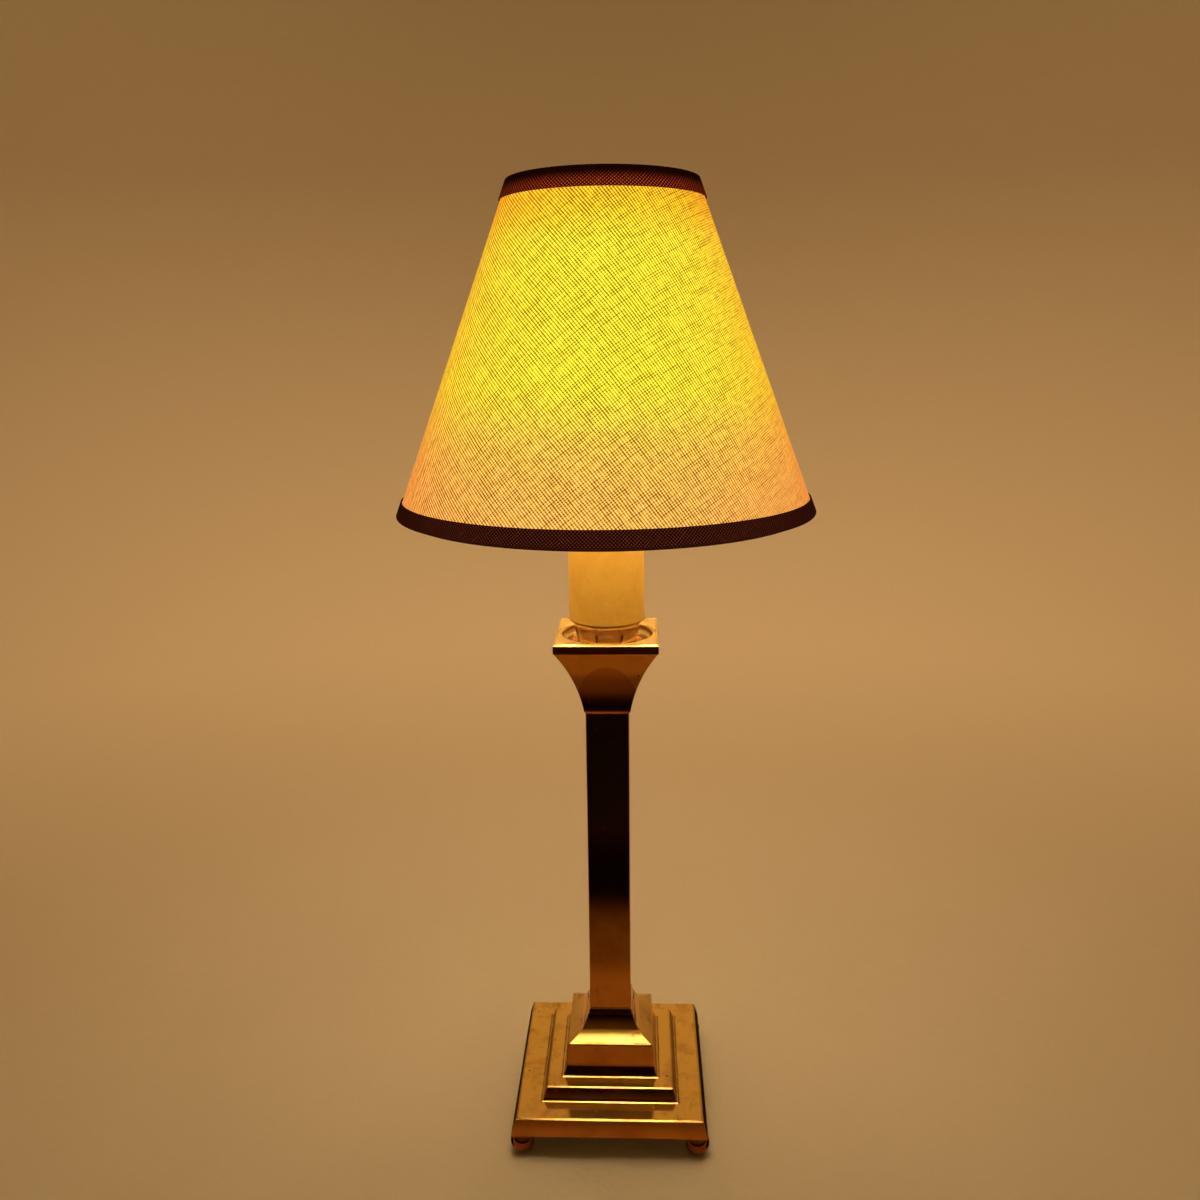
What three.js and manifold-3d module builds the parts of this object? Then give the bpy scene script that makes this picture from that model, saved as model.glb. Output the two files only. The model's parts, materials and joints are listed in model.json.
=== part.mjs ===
// A brass table lamp: a stepped square base on ball feet, a square column, a flared capital with a drip
// dish, a candle cup and sleeve, a screw-in bulb, and a linen cone shade that a wire clip holds on the bulb.
// Millimetres, +Z up. The origin is on the table, under the middle of the base.

import * as THREE from "three";
import { mergeVertices } from "three/addons/utils/BufferGeometryUtils.js";
import Module from "manifold-3d";

const wasm = await Module();
wasm.setup();

// Clearance between pieces that nest, and how far a cutting tool overruns the face it opens
const nestGap = 0.3;
const overrun = 1;

// Ball feet, turned with a stud that holds the bottom cover to the base
const footBallDiameter = 8.6;
const footSoleCut = 0.15;
const footSeatCut = 0.1;
const footInset = 3.6;
const footStudDiameter = 2.6;
const footStudLength = 3.4;

// Base plate, the lowest tier: battered sides, hollow below, closed by a sheet cover
const baseWidth = 70.2;
const baseBatter = 1.1;
const baseHeight = 6;
const baseWeb = 1.7;
const baseWall = 3;
const baseRim = 1;
const cornerBoss = 4.5;
const coverThickness = 1;

// Cord inlet in the middle of the cover
const cordBore = 6.4;
const grommetWall = 1.3;
const grommetFlangeWidth = 1;
const grommetFlangeThickness = 0.8;

// Second tier
const stepWidth = 48.6;
const stepBatter = 0.8;
const stepHeight = 5;
const stepWeb = 2;
const stepWall = 3;

// Ballast inside the two tiers
const ballastSideGap = 4.5;
const ballastFloorGap = 0.9;

// Threaded tie tube with its nuts and washer
const tubeDiameter = 10;
const tubeBore = 8;
const nutWidth = 14;
const nutThickness = 3;
const washerThickness = 1;

// Column: square tube, with a spigot of plinth and capital in each end
const spigotWall = 0.8;
const spigotLength = 5;
const columnWall = 1.2;
const columnLength = 117.3;
const columnEdge = 0.4;

// Plinth: battered block with a cove that sweeps up to the column
const plinthWidth = 34.6;
const plinthBatter = 1.7;
const plinthFaceHeight = 12.2;
const plinthCoveRadius = 10.2;
const plinthLip = 0.2;
const plinthWall = 4.5;
const plinthRoof = 3;

// Capital: concave flare below a square slab with a round drip dish
const capitalLip = 0.4;
const capitalLipHeight = 0.6;
const capitalFlareHeight = 23.8;
const capitalFlareRadius = 62;
const slabWidth = 35.3;
const slabHeight = 3.15;
const slabLedge = 0.25;
const dishMargin = 1.25;
const dishDepth = 4;
const dishFloorMargin = 2.4;
const dishBowlRadius = 4.8;
const dishLipRadius = 0.9;

// Candle cup, a turned cone with air slots that stands in the dish, and the sleeve on its rim
const cupSeat = 0.4;
const cupHeight = 8.6;
const cupWall = 1.4;
const cupFloor = 2;
const cupNutGap = 0.6;
const cupSlotCount = 8;
const cupSlotAngle = 28;
const cupSlotWidth = 0.9;
const cupSlotHeight = 3;
const cupSlotSill = 0.4;
const sleeveDiameter = 26;
const sleeveWall = 1.2;
const sleeveLength = 60;
const sleeveEdge = 0.5;

// Screw thread shared by the bulb's cap and the lampholder's shell
const threadDiameter = 13.9;
const threadDepth = 0.8;
const threadPitch = 2.82;
const threadLength = 16;

// Lampholder
const holderRecess = 0.5;
const holderBarrelLength = 24.4;
const holderBarrelSlack = 0.85;
const holderBaseLength = 14;
const holderBaseFloor = 5;
const holderBaseWall = 1.1;
const insertLedge = 1.8;
const insertThickness = 3.4;
const terminalInset = 0.8;
const terminalDiameter = 2.4;
const terminalHeadDiameter = 3.6;
const terminalHeadThickness = 1.4;
const terminalShank = 2;
const shellWall = 0.7;
const contactHeight = 1.4;
const contactStrip = 0.5;
const contactSpan = 8;
const contactCrown = 2.6;
const contactWidth = 3.4;

// Bulb: cap, glass ball on a neck, stem and filament
const capTipDiameter = 4.4;
const capTipFlat = 2.6;
const capTipRound = 0.65;
const capTipHeight = 1.3;
const capInsulatorHeight = 2.3;
const capPlugDepth = 1.4;
const capWall = 0.6;
const capCollarStep = 0.65;
const capCollarHeight = 4.4;
const capCollarTaper = 1;
const bulbDiameter = 45;
const bulbNeckStep = 0.2;
const bulbNeckLength = 4.9;
const bulbNeckFillet = 8;
const bulbWall = 0.9;
const stemDiameter = 6;
const stemFlareHeight = 5;
const stemHeight = 15;
const filamentSpan = 20;
const filamentRise = 15;
const filamentSag = 1.5;
const filamentThickness = 0.8;

// Bulb clip: two spring rings that hug the glass, joined by a pivot lug on each side
const clipWire = 1.8;
const clipNeckGap = 4.2;
const lugThickness = 1;
const lugWidth = 5;
const pinDiameter = 2;
const pinHeadDiameter = 4.4;
const pinHeadThickness = 1;

// Shade: cone cover on two wire rings, edged with tape, hung from two struts
const shadeTopDiameter = 59.8;
const shadeBottomDiameter = 137.6;
const shadeHeight = 102.6;
const shadeDrop = 53.7;
const coverSheet = 0.9;
const ringWire = 2.4;
const ringInset = 1.9;
const topTrimWidth = 6.2;
const bottomTrimWidth = 5.4;
const trimThickness = 0.4;
const tapeGap = 0.2;
const strutWire = 2;
const eyeDiameter = 5.2;
const eyeWidth = 2;

// Facets of round pieces
const shadeSides = 40;
const turnedSides = 24;
const smallSides = 16;
const wireSides = 6;
const threadSides = 16;
const threadRowsPerTurn = 5;

// Radii and half widths that several pieces share
const footRadius = footBallDiameter / 2;
const footStudRadius = footStudDiameter / 2;
const baseHalf = baseWidth / 2;
const footAcross = baseHalf - footInset;
const tubeRadius = tubeDiameter / 2;
const tubeHole = tubeRadius + nestGap;
const nutCorner = nutWidth / Math.sqrt(3);
const nutPocket = nutCorner + 2 * nestGap;
const grommetNeck = cordBore / 2 + grommetWall;
const stepHollow = stepWidth / 2 - stepBatter - stepWall;
const ballastRadius = stepHollow - ballastSideGap;
const spigotHalf = tubeHole + spigotWall;
const columnBore = spigotHalf + nestGap;
const columnHalf = columnBore + columnWall;
const plinthFaceHalf = plinthWidth / 2 - plinthBatter;
const plinthTopHalf = columnHalf + plinthLip;
const slabHalf = slabWidth / 2;
const sleeveRadius = sleeveDiameter / 2;
const sleeveBore = sleeveRadius - sleeveWall;
const cupBottomRadius = nutCorner + cupNutGap + cupWall;
const cupTopRadius = sleeveBore + cupSeat;
const holderRadius = sleeveBore - nestGap;
const insertSeat = holderRadius - holderBaseWall;
const holderBaseBore = insertSeat - insertLedge;
const terminalAcross = holderBaseBore - terminalHeadDiameter / 2 - terminalInset;
const threadRadius = threadDiameter / 2;
const threadMean = threadRadius - threadDepth / 2;
const threadRoot = threadRadius - threadDepth;
const shellRadius = threadRadius + nestGap + shellWall;
const capBore = threadRoot - capWall;
const collarRadius = threadRadius + capCollarStep;
const collarBore = collarRadius - capWall;
const glassFoot = collarBore - nestGap;
const bulbRadius = bulbDiameter / 2;
const bulbNeck = collarRadius + bulbNeckStep;

// Levels from the table up
const baseZ = footBallDiameter - footSoleCut - footSeatCut;
const coverTop = baseZ + coverThickness;
const baseTop = baseZ + baseHeight;
const baseRoof = baseTop - baseWeb;
const stepTop = baseTop + stepHeight;
const stepRoof = stepTop - stepWeb;
const baseNutZ = coverTop + grommetFlangeThickness + nestGap;
const washerZ = baseNutZ + nutThickness;
const pocketTop = washerZ + washerThickness;
const plinthFaceTop = stepTop + plinthFaceHeight;
const coveReach = plinthTopHalf + plinthCoveRadius - plinthFaceHalf;
const plinthTop = plinthFaceTop + Math.sqrt(plinthCoveRadius ** 2 - coveReach ** 2);
const columnTop = plinthTop + columnLength;
const flareFoot = columnTop + capitalLipHeight;
const slabZ = flareFoot + capitalFlareHeight;
const slabTop = slabZ + slabHeight;
const dishFloor = slabTop - dishDepth;
const cupInside = dishFloor + cupFloor;
const cupTop = dishFloor + cupHeight;
const sleeveTop = cupTop + sleeveLength;
const holderRim = sleeveTop - holderRecess;
const insertTop = holderRim - holderBarrelLength;
const insertZ = insertTop - insertThickness;
const holderBaseZ = insertTop - holderBaseLength;
const holderFloor = holderBaseZ + holderBaseFloor;
const bulbTip = insertTop + contactHeight + nestGap;
const insulatorZ = bulbTip + capTipHeight;
const threadZ = insulatorZ + capInsulatorHeight;
const collarZ = threadZ + threadLength;
const collarTop = collarZ + capCollarHeight;
const glassFootZ = collarZ + 2 * capCollarTaper + nestGap;
const neckZ = collarTop + nestGap;
const neckDrop = Math.sqrt((bulbRadius + bulbNeckFillet) ** 2 - (bulbNeck + bulbNeckFillet) ** 2);
const bulbCentre = neckZ + bulbNeckLength + neckDrop;
const shadeZ = bulbCentre - shadeDrop;

// Turns an outline of [radius, height] pairs round the Z axis.
// The outline starts and ends on the axis, or else closes on itself.
function turned(outline, sides = turnedSides, start = 0) {
  const points = outline.map(([r, z]) => new THREE.Vector2(r, z));
  if (THREE.ShapeUtils.isClockWise(points)) points.reverse();
  if (points[0].x > 0) points.push(points[0].clone());
  return new THREE.LatheGeometry(points, sides, start).rotateX(Math.PI / 2);
}

// The same for a square piece: each pair is [half width, height].
function square(outline) {
  return turned(outline.map(([half, z]) => [half * Math.SQRT2, z]), 4, Math.PI / 4);
}

function tube(outer, inner, z0, z1, sides) {
  return turned([[inner, z0], [outer, z0], [outer, z1], [inner, z1]], sides);
}

function rod(radius, z0, z1, sides) {
  return turned([[0, z0], [radius, z0], [radius, z1], [0, z1]], sides);
}

function block(halfX, halfY, z0, z1) {
  return new THREE.BoxGeometry(2 * halfX, 2 * halfY, z1 - z0).translate(0, 0, (z0 + z1) / 2);
}

function polygon(points) {
  return new THREE.Shape(points.map(([x, y]) => new THREE.Vector2(x, y)));
}

// A flat outline raised from z0 to z1
function plate(shape, z0, z1) {
  return new THREE.ExtrudeGeometry(shape, { depth: z1 - z0, bevelEnabled: false }).translate(0, 0, z0);
}

// Points on a circle, from one angle to another
function arc([x, y], radius, from, to, count) {
  return Array.from({ length: count + 1 }, (_, i) => {
    const angle = from + ((to - from) * i) / count;
    return [x + radius * Math.cos(angle), y + radius * Math.sin(angle)];
  });
}

function regularPolygon(radius, sides) {
  return polygon(arc([0, 0], radius, 0, 2 * Math.PI, sides).slice(0, sides));
}

// Points from start to end on an arc of the given radius, with its centre on the right of the way there
function arcBetween(start, end, radius, count) {
  const [dx, dy] = [end[0] - start[0], end[1] - start[1]];
  const chord = Math.hypot(dx, dy);
  const reach = Math.sqrt(radius ** 2 - (chord / 2) ** 2) / chord;
  const centre = [(start[0] + end[0]) / 2 + dy * reach, (start[1] + end[1]) / 2 - dx * reach];
  const from = Math.atan2(start[1] - centre[1], start[0] - centre[0]);
  return arc(centre, radius, from, from - 2 * Math.asin(chord / 2 / radius), count);
}

// A round wire along a curve, with a flat end at both ends
function wire(curve, radius, steps) {
  const section = regularPolygon(radius, wireSides);
  return new THREE.ExtrudeGeometry(section, { steps, extrudePath: curve, bevelEnabled: false });
}

function solidOf(geometry) {
  const bare = geometry.clone();
  bare.deleteAttribute("normal");
  bare.deleteAttribute("uv");
  const merged = mergeVertices(bare);
  const vertProperties = new Float32Array(merged.getAttribute("position").array);
  const triVerts = new Uint32Array(merged.index.array);
  return new wasm.Manifold(new wasm.Mesh({ numProp: 3, vertProperties, triVerts }));
}

function geometryOf(solid) {
  const mesh = solid.getMesh();
  const geometry = new THREE.BufferGeometry();
  geometry.setAttribute("position", new THREE.BufferAttribute(mesh.vertProperties, 3));
  geometry.setIndex(new THREE.BufferAttribute(mesh.triVerts, 1));
  geometry.computeVertexNormals();
  return geometry;
}

function cut(body, ...tools) {
  return geometryOf(tools.reduce((solid, tool) => solid.subtract(solidOf(tool)), solidOf(body)));
}

function join(body, ...others) {
  return geometryOf(others.reduce((solid, other) => solid.add(solidOf(other)), solidOf(body)));
}

// A rod with a right-hand round thread: its radius is a wave that climbs one pitch a turn.
function threadedRod(meanRadius, z0, z1) {
  const rows = Math.ceil(((z1 - z0) / threadPitch) * threadRowsPerTurn);
  const position = [0, 0, z0, 0, 0, z1];
  const index = [];
  const at = (row, side) => 2 + row * threadSides + (side % threadSides);
  for (let row = 0; row <= rows; row++) {
    const z = z0 + ((z1 - z0) * row) / rows;
    for (let side = 0; side < threadSides; side++) {
      const angle = (2 * Math.PI * side) / threadSides;
      const wave = Math.cos((2 * Math.PI * (z - threadZ)) / threadPitch - angle);
      const radius = meanRadius + (threadDepth / 2) * wave;
      position.push(radius * Math.cos(angle), radius * Math.sin(angle), z);
    }
  }
  for (let side = 0; side < threadSides; side++) {
    index.push(0, at(0, side + 1), at(0, side));
    index.push(1, at(rows, side), at(rows, side + 1));
    for (let row = 0; row < rows; row++) {
      index.push(at(row, side), at(row, side + 1), at(row + 1, side + 1));
      index.push(at(row, side), at(row + 1, side + 1), at(row + 1, side));
    }
  }
  const geometry = new THREE.BufferGeometry();
  geometry.setAttribute("position", new THREE.Float32BufferAttribute(position, 3));
  geometry.setIndex(index);
  return geometry;
}

// Finishes
function finish(color, roughness, metalness) {
  return new THREE.MeshStandardMaterial({ color, roughness, metalness });
}

const polishedBrass = finish(0xc08a35, 0.12, 1);
const plainBrass = finish(0xb08d4a, 0.35, 1);
const zincSteel = finish(0x9a9a96, 0.4, 1);
const castIron = finish(0x3a3836, 0.8, 0.4);
const blackRubber = finish(0x1c1b1a, 0.8, 0);
const moulding = finish(0xe6e0d2, 0.45, 0);
const ceramic = finish(0xece9e2, 0.5, 0);
const creamSleeve = finish(0xefd9a8, 0.55, 0);
const opalGlass = finish(0xfff0d0, 0.2, 0);
const blackGlass = finish(0x141214, 0.25, 0);
const tungsten = finish(0x55504a, 0.4, 1);
const solder = finish(0xa8a8a6, 0.5, 1);
const linen = finish(0xe8c37a, 0.9, 0);
const brownTape = finish(0x2a1512, 0.95, 0);

function piece(name, geometry, material) {
  const mesh = new THREE.Mesh(geometry, material);
  mesh.name = name;
  return mesh;
}

// Base

const corners = [
  { name: "front_left", x: -footAcross, y: -footAcross },
  { name: "front_right", x: footAcross, y: -footAcross },
  { name: "rear_left", x: -footAcross, y: footAcross },
  { name: "rear_right", x: footAcross, y: footAcross },
];

function studHoles(top) {
  return corners.map(({ x, y }) => {
    return rod(footStudRadius + nestGap, baseZ - overrun, top, smallSides).translate(x, y, 0);
  });
}

function ballFoot({ name, x, y }) {
  const soleAngle = Math.asin((footRadius - footSoleCut) / footRadius);
  const studAngle = Math.acos(footStudRadius / footRadius);
  const ball = arc([0, footRadius - footSoleCut], footRadius, -soleAngle, studAngle, 7);
  const studTop = baseZ + footStudLength;
  const outline = [[0, 0], ...ball, [footStudRadius, studTop], [0, studTop]];
  const foot = piece(`foot_${name}`, turned(outline, smallSides), polishedBrass);
  foot.position.set(x, y, 0);
  return foot;
}

function bottomCover() {
  const half = baseHalf - baseRim - nestGap;
  const inlet = rod(grommetNeck + nestGap, baseZ - overrun, coverTop + overrun, smallSides);
  const sheet = cut(block(half, half, baseZ, coverTop), inlet, ...studHoles(coverTop + overrun));
  return piece("bottom_cover", sheet, zincSteel);
}

function cordGrommet() {
  const bore = cordBore / 2;
  const flange = grommetNeck + grommetFlangeWidth;
  const lower = baseZ - grommetFlangeThickness;
  const upper = coverTop + grommetFlangeThickness;
  const outline = [
    [bore, lower],
    [flange, lower],
    [flange, baseZ],
    [grommetNeck, baseZ],
    [grommetNeck, coverTop],
    [flange, coverTop],
    [grommetNeck, upper],
    [bore, upper],
  ];
  return piece("cord_grommet", turned(outline, smallSides), blackRubber);
}

// Half width of the hollow between the corner bosses
const bossFace = footAcross - cornerBoss;

function basePlate() {
  const topHalf = baseHalf - baseBatter;
  const recess = baseHalf - baseRim;
  const hollow = topHalf - baseWall;
  const below = baseZ - overrun;
  const solid = cut(
    square([[0, baseZ], [baseHalf, baseZ], [topHalf, baseTop], [0, baseTop]]),
    block(recess, recess, below, coverTop),
    block(hollow, bossFace, below, baseRoof),
    block(bossFace, hollow, below, baseRoof),
    rod(ballastRadius + nestGap, below, baseTop + overrun),
    ...studHoles(baseZ + footStudLength + nestGap),
  );
  return piece("base_plate", solid, polishedBrass);
}

// Its flange bears on the base plate's underside; its boss rises into the second tier over the nut's pocket.
function ballastWeight() {
  const flange = bossFace - ballastSideGap;
  const bottom = coverTop + ballastFloorGap;
  const top = stepRoof - nestGap;
  const solid = cut(
    join(block(flange, flange, bottom, baseRoof), rod(ballastRadius, bottom, top)),
    rod(nutPocket, bottom - overrun, pocketTop),
    rod(tubeHole, bottom, top + overrun),
  );
  return piece("ballast_weight", solid, castIron);
}

function hexNut(name, z) {
  const top = z + nutThickness;
  const blank = plate(regularPolygon(nutCorner, 6), z, top);
  return piece(name, cut(blank, rod(tubeHole, z - overrun, top + overrun)), plainBrass);
}

function baseWasher() {
  return piece("base_washer", tube(nutPocket - nestGap, tubeHole, washerZ, pocketTop), zincSteel);
}

function baseStep() {
  const half = stepWidth / 2;
  const solid = cut(
    square([[0, baseTop], [half, baseTop], [half - stepBatter, stepTop], [0, stepTop]]),
    block(stepHollow, stepHollow, baseTop - overrun, stepRoof),
    rod(tubeHole, baseTop, stepTop + overrun),
  );
  return piece("base_step", solid, polishedBrass);
}

// Stem

function plinth() {
  const coveFrom = Math.PI + Math.acos(coveReach / plinthCoveRadius);
  const cove = arc([plinthTopHalf + plinthCoveRadius, plinthTop], plinthCoveRadius, coveFrom, Math.PI, 8);
  const spigotTop = plinthTop + spigotLength;
  const hollow = plinthFaceHalf - plinthWall;
  const solid = cut(
    join(
      square([[0, stepTop], [plinthWidth / 2, stepTop], ...cove, [0, plinthTop]]),
      block(spigotHalf, spigotHalf, plinthFaceTop, spigotTop),
    ),
    block(hollow, hollow, stepTop - overrun, plinthFaceTop - plinthRoof),
    rod(tubeHole, stepTop, spigotTop + overrun),
  );
  return piece("plinth", solid, polishedBrass);
}

function column() {
  const [face, eased] = [columnHalf, columnHalf - columnEdge];
  const outline = polygon([
    [eased, -face], [face, -eased], [face, eased], [eased, face],
    [-eased, face], [-face, eased], [-face, -eased], [-eased, -face],
  ]);
  const inside = block(columnBore, columnBore, plinthTop - overrun, columnTop + overrun);
  return piece("column", cut(plate(outline, plinthTop, columnTop), inside), polishedBrass);
}

function tieTube() {
  return piece("tie_tube", tube(tubeRadius, tubeBore / 2, baseNutZ + nestGap, holderFloor), zincSteel);
}

function capital() {
  const lip = [columnHalf + capitalLip, flareFoot];
  const flare = arcBetween(lip, [slabHalf - slabLedge, slabZ], capitalFlareRadius, 8);
  const slab = [[slabHalf, slabZ], [slabHalf, slabTop]];
  const spigotFoot = columnTop - spigotLength;
  const mouth = slabHalf - dishMargin;
  const lipZ = slabTop - dishLipRadius;
  const dishEdge = [cupBottomRadius + dishFloorMargin, dishFloor];
  const bowl = arcBetween([mouth - dishLipRadius, lipZ], dishEdge, dishBowlRadius, 4).reverse();
  const roundLip = arc([mouth, lipZ], dishLipRadius, Math.PI, Math.PI / 2, 3).slice(1);
  const above = slabTop + overrun;
  const solid = cut(
    join(
      square([[0, columnTop], [columnHalf, columnTop], ...flare, ...slab, [0, slabTop]]),
      block(spigotHalf, spigotHalf, spigotFoot, flareFoot),
    ),
    turned([[0, dishFloor], ...bowl, ...roundLip, [mouth, above], [0, above]]),
    rod(tubeHole, spigotFoot - overrun, slabTop),
  );
  return piece("capital", solid, polishedBrass);
}

function candleCup() {
  const taper = (cupTopRadius - cupBottomRadius) / cupHeight;
  const outline = [
    [tubeHole, dishFloor],
    [cupBottomRadius, dishFloor],
    [cupTopRadius, cupTop],
    [cupTopRadius - cupWall, cupTop],
    [cupBottomRadius + taper * cupFloor - cupWall, cupInside],
    [tubeHole, cupInside],
  ];
  const slotZ = cupInside + cupSlotSill;
  const slots = Array.from({ length: cupSlotCount }, (_, i) => {
    const turn = THREE.MathUtils.degToRad(cupSlotAngle + (360 * i) / cupSlotCount);
    const slot = block(cupSlotWidth / 2, 2 * cupWall, slotZ, slotZ + cupSlotHeight);
    return slot.translate(0, -cupBottomRadius, 0).rotateZ(turn);
  });
  return piece("candle_cup", cut(turned(outline), ...slots), polishedBrass);
}

function candleSleeve() {
  const outline = [
    [sleeveBore, cupTop],
    [sleeveRadius - sleeveEdge, cupTop],
    [sleeveRadius, cupTop + sleeveEdge],
    [sleeveRadius, sleeveTop],
    [sleeveBore, sleeveTop],
  ];
  return piece("candle_sleeve", turned(outline), creamSleeve);
}

// Lampholder

function holderBase() {
  const outline = [
    [tubeHole, holderBaseZ],
    [holderRadius, holderBaseZ],
    [holderRadius, insertTop],
    [insertSeat, insertTop],
    [insertSeat, insertZ],
    [holderBaseBore, insertZ],
    [holderBaseBore, holderFloor],
    [tubeHole, holderFloor],
  ];
  return piece("holder_base", turned(outline), moulding);
}

const screwSides = [{ name: "left", x: -terminalAcross }, { name: "right", x: terminalAcross }];

function socketInsert() {
  const holeTop = insertZ + terminalShank + nestGap;
  const holes = screwSides.map(({ x }) => {
    return rod(terminalDiameter / 2 + nestGap, insertZ - overrun, holeTop, smallSides).translate(x, 0, 0);
  });
  return piece("socket_insert", cut(rod(insertSeat - nestGap, insertZ, insertTop), ...holes), ceramic);
}

function terminalScrew({ name, x }) {
  const [shank, head] = [terminalDiameter / 2, terminalHeadDiameter / 2];
  const seat = insertZ - nestGap;
  const outline = [
    [0, seat - terminalHeadThickness],
    [head, seat - terminalHeadThickness],
    [head, seat],
    [shank, seat],
    [shank, insertZ + terminalShank],
    [0, insertZ + terminalShank],
  ];
  const screw = piece(`terminal_screw_${name}`, turned(outline, smallSides), plainBrass);
  screw.position.x = x;
  return screw;
}

function holderBarrel() {
  const barrel = tube(holderRadius, shellRadius + holderBarrelSlack, insertTop, holderRim);
  return piece("holder_barrel", barrel, moulding);
}

function screwShell() {
  const top = collarZ - nestGap;
  const solid = cut(
    rod(shellRadius, insertTop, top),
    rod(threadRoot + nestGap, insertTop - overrun, threadZ + nestGap),
    threadedRod(threadMean + nestGap, threadZ, top + overrun),
  );
  return piece("screw_shell", solid, plainBrass);
}

// A sprung strip, bowed up from the insert towards the tip of the bulb
function centreContact() {
  const [foot, crown] = [contactSpan / 2, contactCrown / 2];
  const under = contactHeight - contactStrip;
  const bow = polygon([
    [-foot, 0], [-crown, under], [crown, under], [foot, 0],
    [foot, contactStrip], [crown, contactHeight], [-crown, contactHeight], [-foot, contactStrip],
  ]);
  const strip = plate(bow, -contactWidth / 2, contactWidth / 2).rotateX(Math.PI / 2);
  return piece("centre_contact", strip.translate(0, 0, insertTop), plainBrass);
}

// Bulb

function bulbCap() {
  const collarFoot = collarZ - capCollarTaper;
  const collarFull = collarZ + capCollarTaper;
  const below = threadZ - overrun;
  const above = collarTop + overrun;
  const collar = [
    [0, collarFoot],
    [threadRoot, collarFoot],
    [threadRoot, collarZ],
    [collarRadius, collarFull],
    [collarRadius, collarTop],
    [0, collarTop],
  ];
  const inside = [
    [0, below],
    [capBore, below],
    [capBore, collarZ],
    [collarBore, collarFull + capCollarTaper],
    [collarBore, above],
    [0, above],
  ];
  const solid = cut(join(threadedRod(threadMean, threadZ, collarZ), turned(collar)), turned(inside));
  return piece("bulb_cap", solid, plainBrass);
}

function capInsulator() {
  const top = threadZ + capPlugDepth;
  const shoulder = threadZ - nestGap;
  const outline = [
    [0, insulatorZ],
    [capTipDiameter / 2 + nestGap, insulatorZ],
    [capBore, shoulder],
    [capBore - nestGap, shoulder],
    [capBore - nestGap, top],
    [0, top],
  ];
  return piece("cap_insulator", turned(outline, smallSides), blackGlass);
}

function capTip() {
  const radius = capTipDiameter / 2;
  const outline = [
    [0, bulbTip],
    [capTipFlat / 2, bulbTip],
    [radius, bulbTip + capTipRound],
    [radius, insulatorZ],
    [0, insulatorZ],
  ];
  return piece("cap_tip", turned(outline, smallSides), solder);
}

// The glass from neck to crown, with everything moved in by the wall for its inner face
function glassOutline(inset) {
  const neck = bulbNeck - inset;
  const fillet = bulbNeckFillet + inset;
  const touch = Math.atan2(-neckDrop, bulbNeck + bulbNeckFillet);
  return [
    [neck, neckZ + inset],
    ...arc([neck + fillet, bulbCentre - neckDrop], fillet, Math.PI, Math.PI + touch, 3),
    ...arc([0, bulbCentre], bulbRadius - inset, touch, Math.PI / 2, 9).slice(1),
  ];
}

function bulbGlass() {
  const foot = [[glassFoot - bulbWall, glassFootZ], [glassFoot, glassFootZ], [glassFoot, neckZ]];
  const outline = [...glassOutline(bulbWall).reverse(), ...foot, ...glassOutline(0)];
  return piece("bulb_glass", turned(outline), opalGlass);
}

const stemTop = glassFootZ + stemHeight;

function bulbStem() {
  const stem = stemDiameter / 2;
  const outline = [
    [0, glassFootZ],
    [glassFoot - bulbWall - nestGap, glassFootZ],
    [stem, glassFootZ + stemFlareHeight],
    [stem, stemTop],
    [0, stemTop],
  ];
  return piece("bulb_stem", turned(outline, smallSides), opalGlass);
}

// Two leads that spread from the stem, with the filament slung between their tips
function filament() {
  const [lead, tip] = [stemDiameter / 4, filamentSpan / 2];
  const foot = stemTop + nestGap;
  const top = foot + filamentRise;
  const route = [[-lead, foot], [-tip, top], [0, top - filamentSag], [tip, top], [lead, foot]];
  const curve = new THREE.CatmullRomCurve3(route.map(([x, z]) => new THREE.Vector3(x, 0, z)));
  return piece("filament", wire(curve, filamentThickness / 2, 24), tungsten);
}

// Clip

const clipOffset = bulbNeck + clipNeckGap;
const clipReach = bulbRadius + nestGap + clipWire / 2;
const clipRingRadius = Math.sqrt(clipReach ** 2 - clipOffset ** 2);
const lugFace = bulbRadius + nestGap;
const eyeFace = lugFace + lugThickness + nestGap;
const eyeMiddle = eyeFace + eyeWidth / 2;
const pinEnd = eyeFace + eyeWidth + nestGap;

function clipRing(name, side) {
  const torus = new THREE.TorusGeometry(clipRingRadius, clipWire / 2, wireSides, 32);
  const ring = piece(name, torus, zincSteel);
  ring.rotation.x = Math.PI / 2;
  ring.position.set(0, side * clipOffset, bulbCentre);
  return ring;
}

// A bridge across the two rings, with a headed pin for the eye of a strut
function clipLug(name, turn) {
  const bridge = new THREE.BoxGeometry(lugThickness, 2 * (clipOffset + clipWire), lugWidth);
  const pin = rod(pinDiameter / 2, lugFace + lugThickness / 2, pinEnd + pinHeadThickness / 2, smallSides);
  const head = rod(pinHeadDiameter / 2, pinEnd, pinEnd + pinHeadThickness, smallSides);
  const solid = join(
    bridge.translate(lugFace + lugThickness / 2, 0, 0),
    pin.rotateY(Math.PI / 2),
    head.rotateY(Math.PI / 2),
  );
  const lug = piece(name, solid, zincSteel);
  lug.rotation.z = turn;
  lug.position.z = bulbCentre;
  return lug;
}

// Shade

const shadeLean = (shadeBottomDiameter - shadeTopDiameter) / 2 / shadeHeight;
const slantScale = Math.hypot(1, shadeLean);
const slant = shadeHeight * slantScale;
const ringOut = -(coverSheet + nestGap + ringWire / 2);
const foldOut = ringOut - ringWire / 2 - nestGap;

// A point of the shade's section: up the slant from the lower edge, and out from the cover's outer face
function onShade(along, out) {
  const [rise, push] = [along / slantScale, out / slantScale];
  return [shadeBottomDiameter / 2 - shadeLean * rise + push, shadeZ + rise + shadeLean * push];
}

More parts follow.
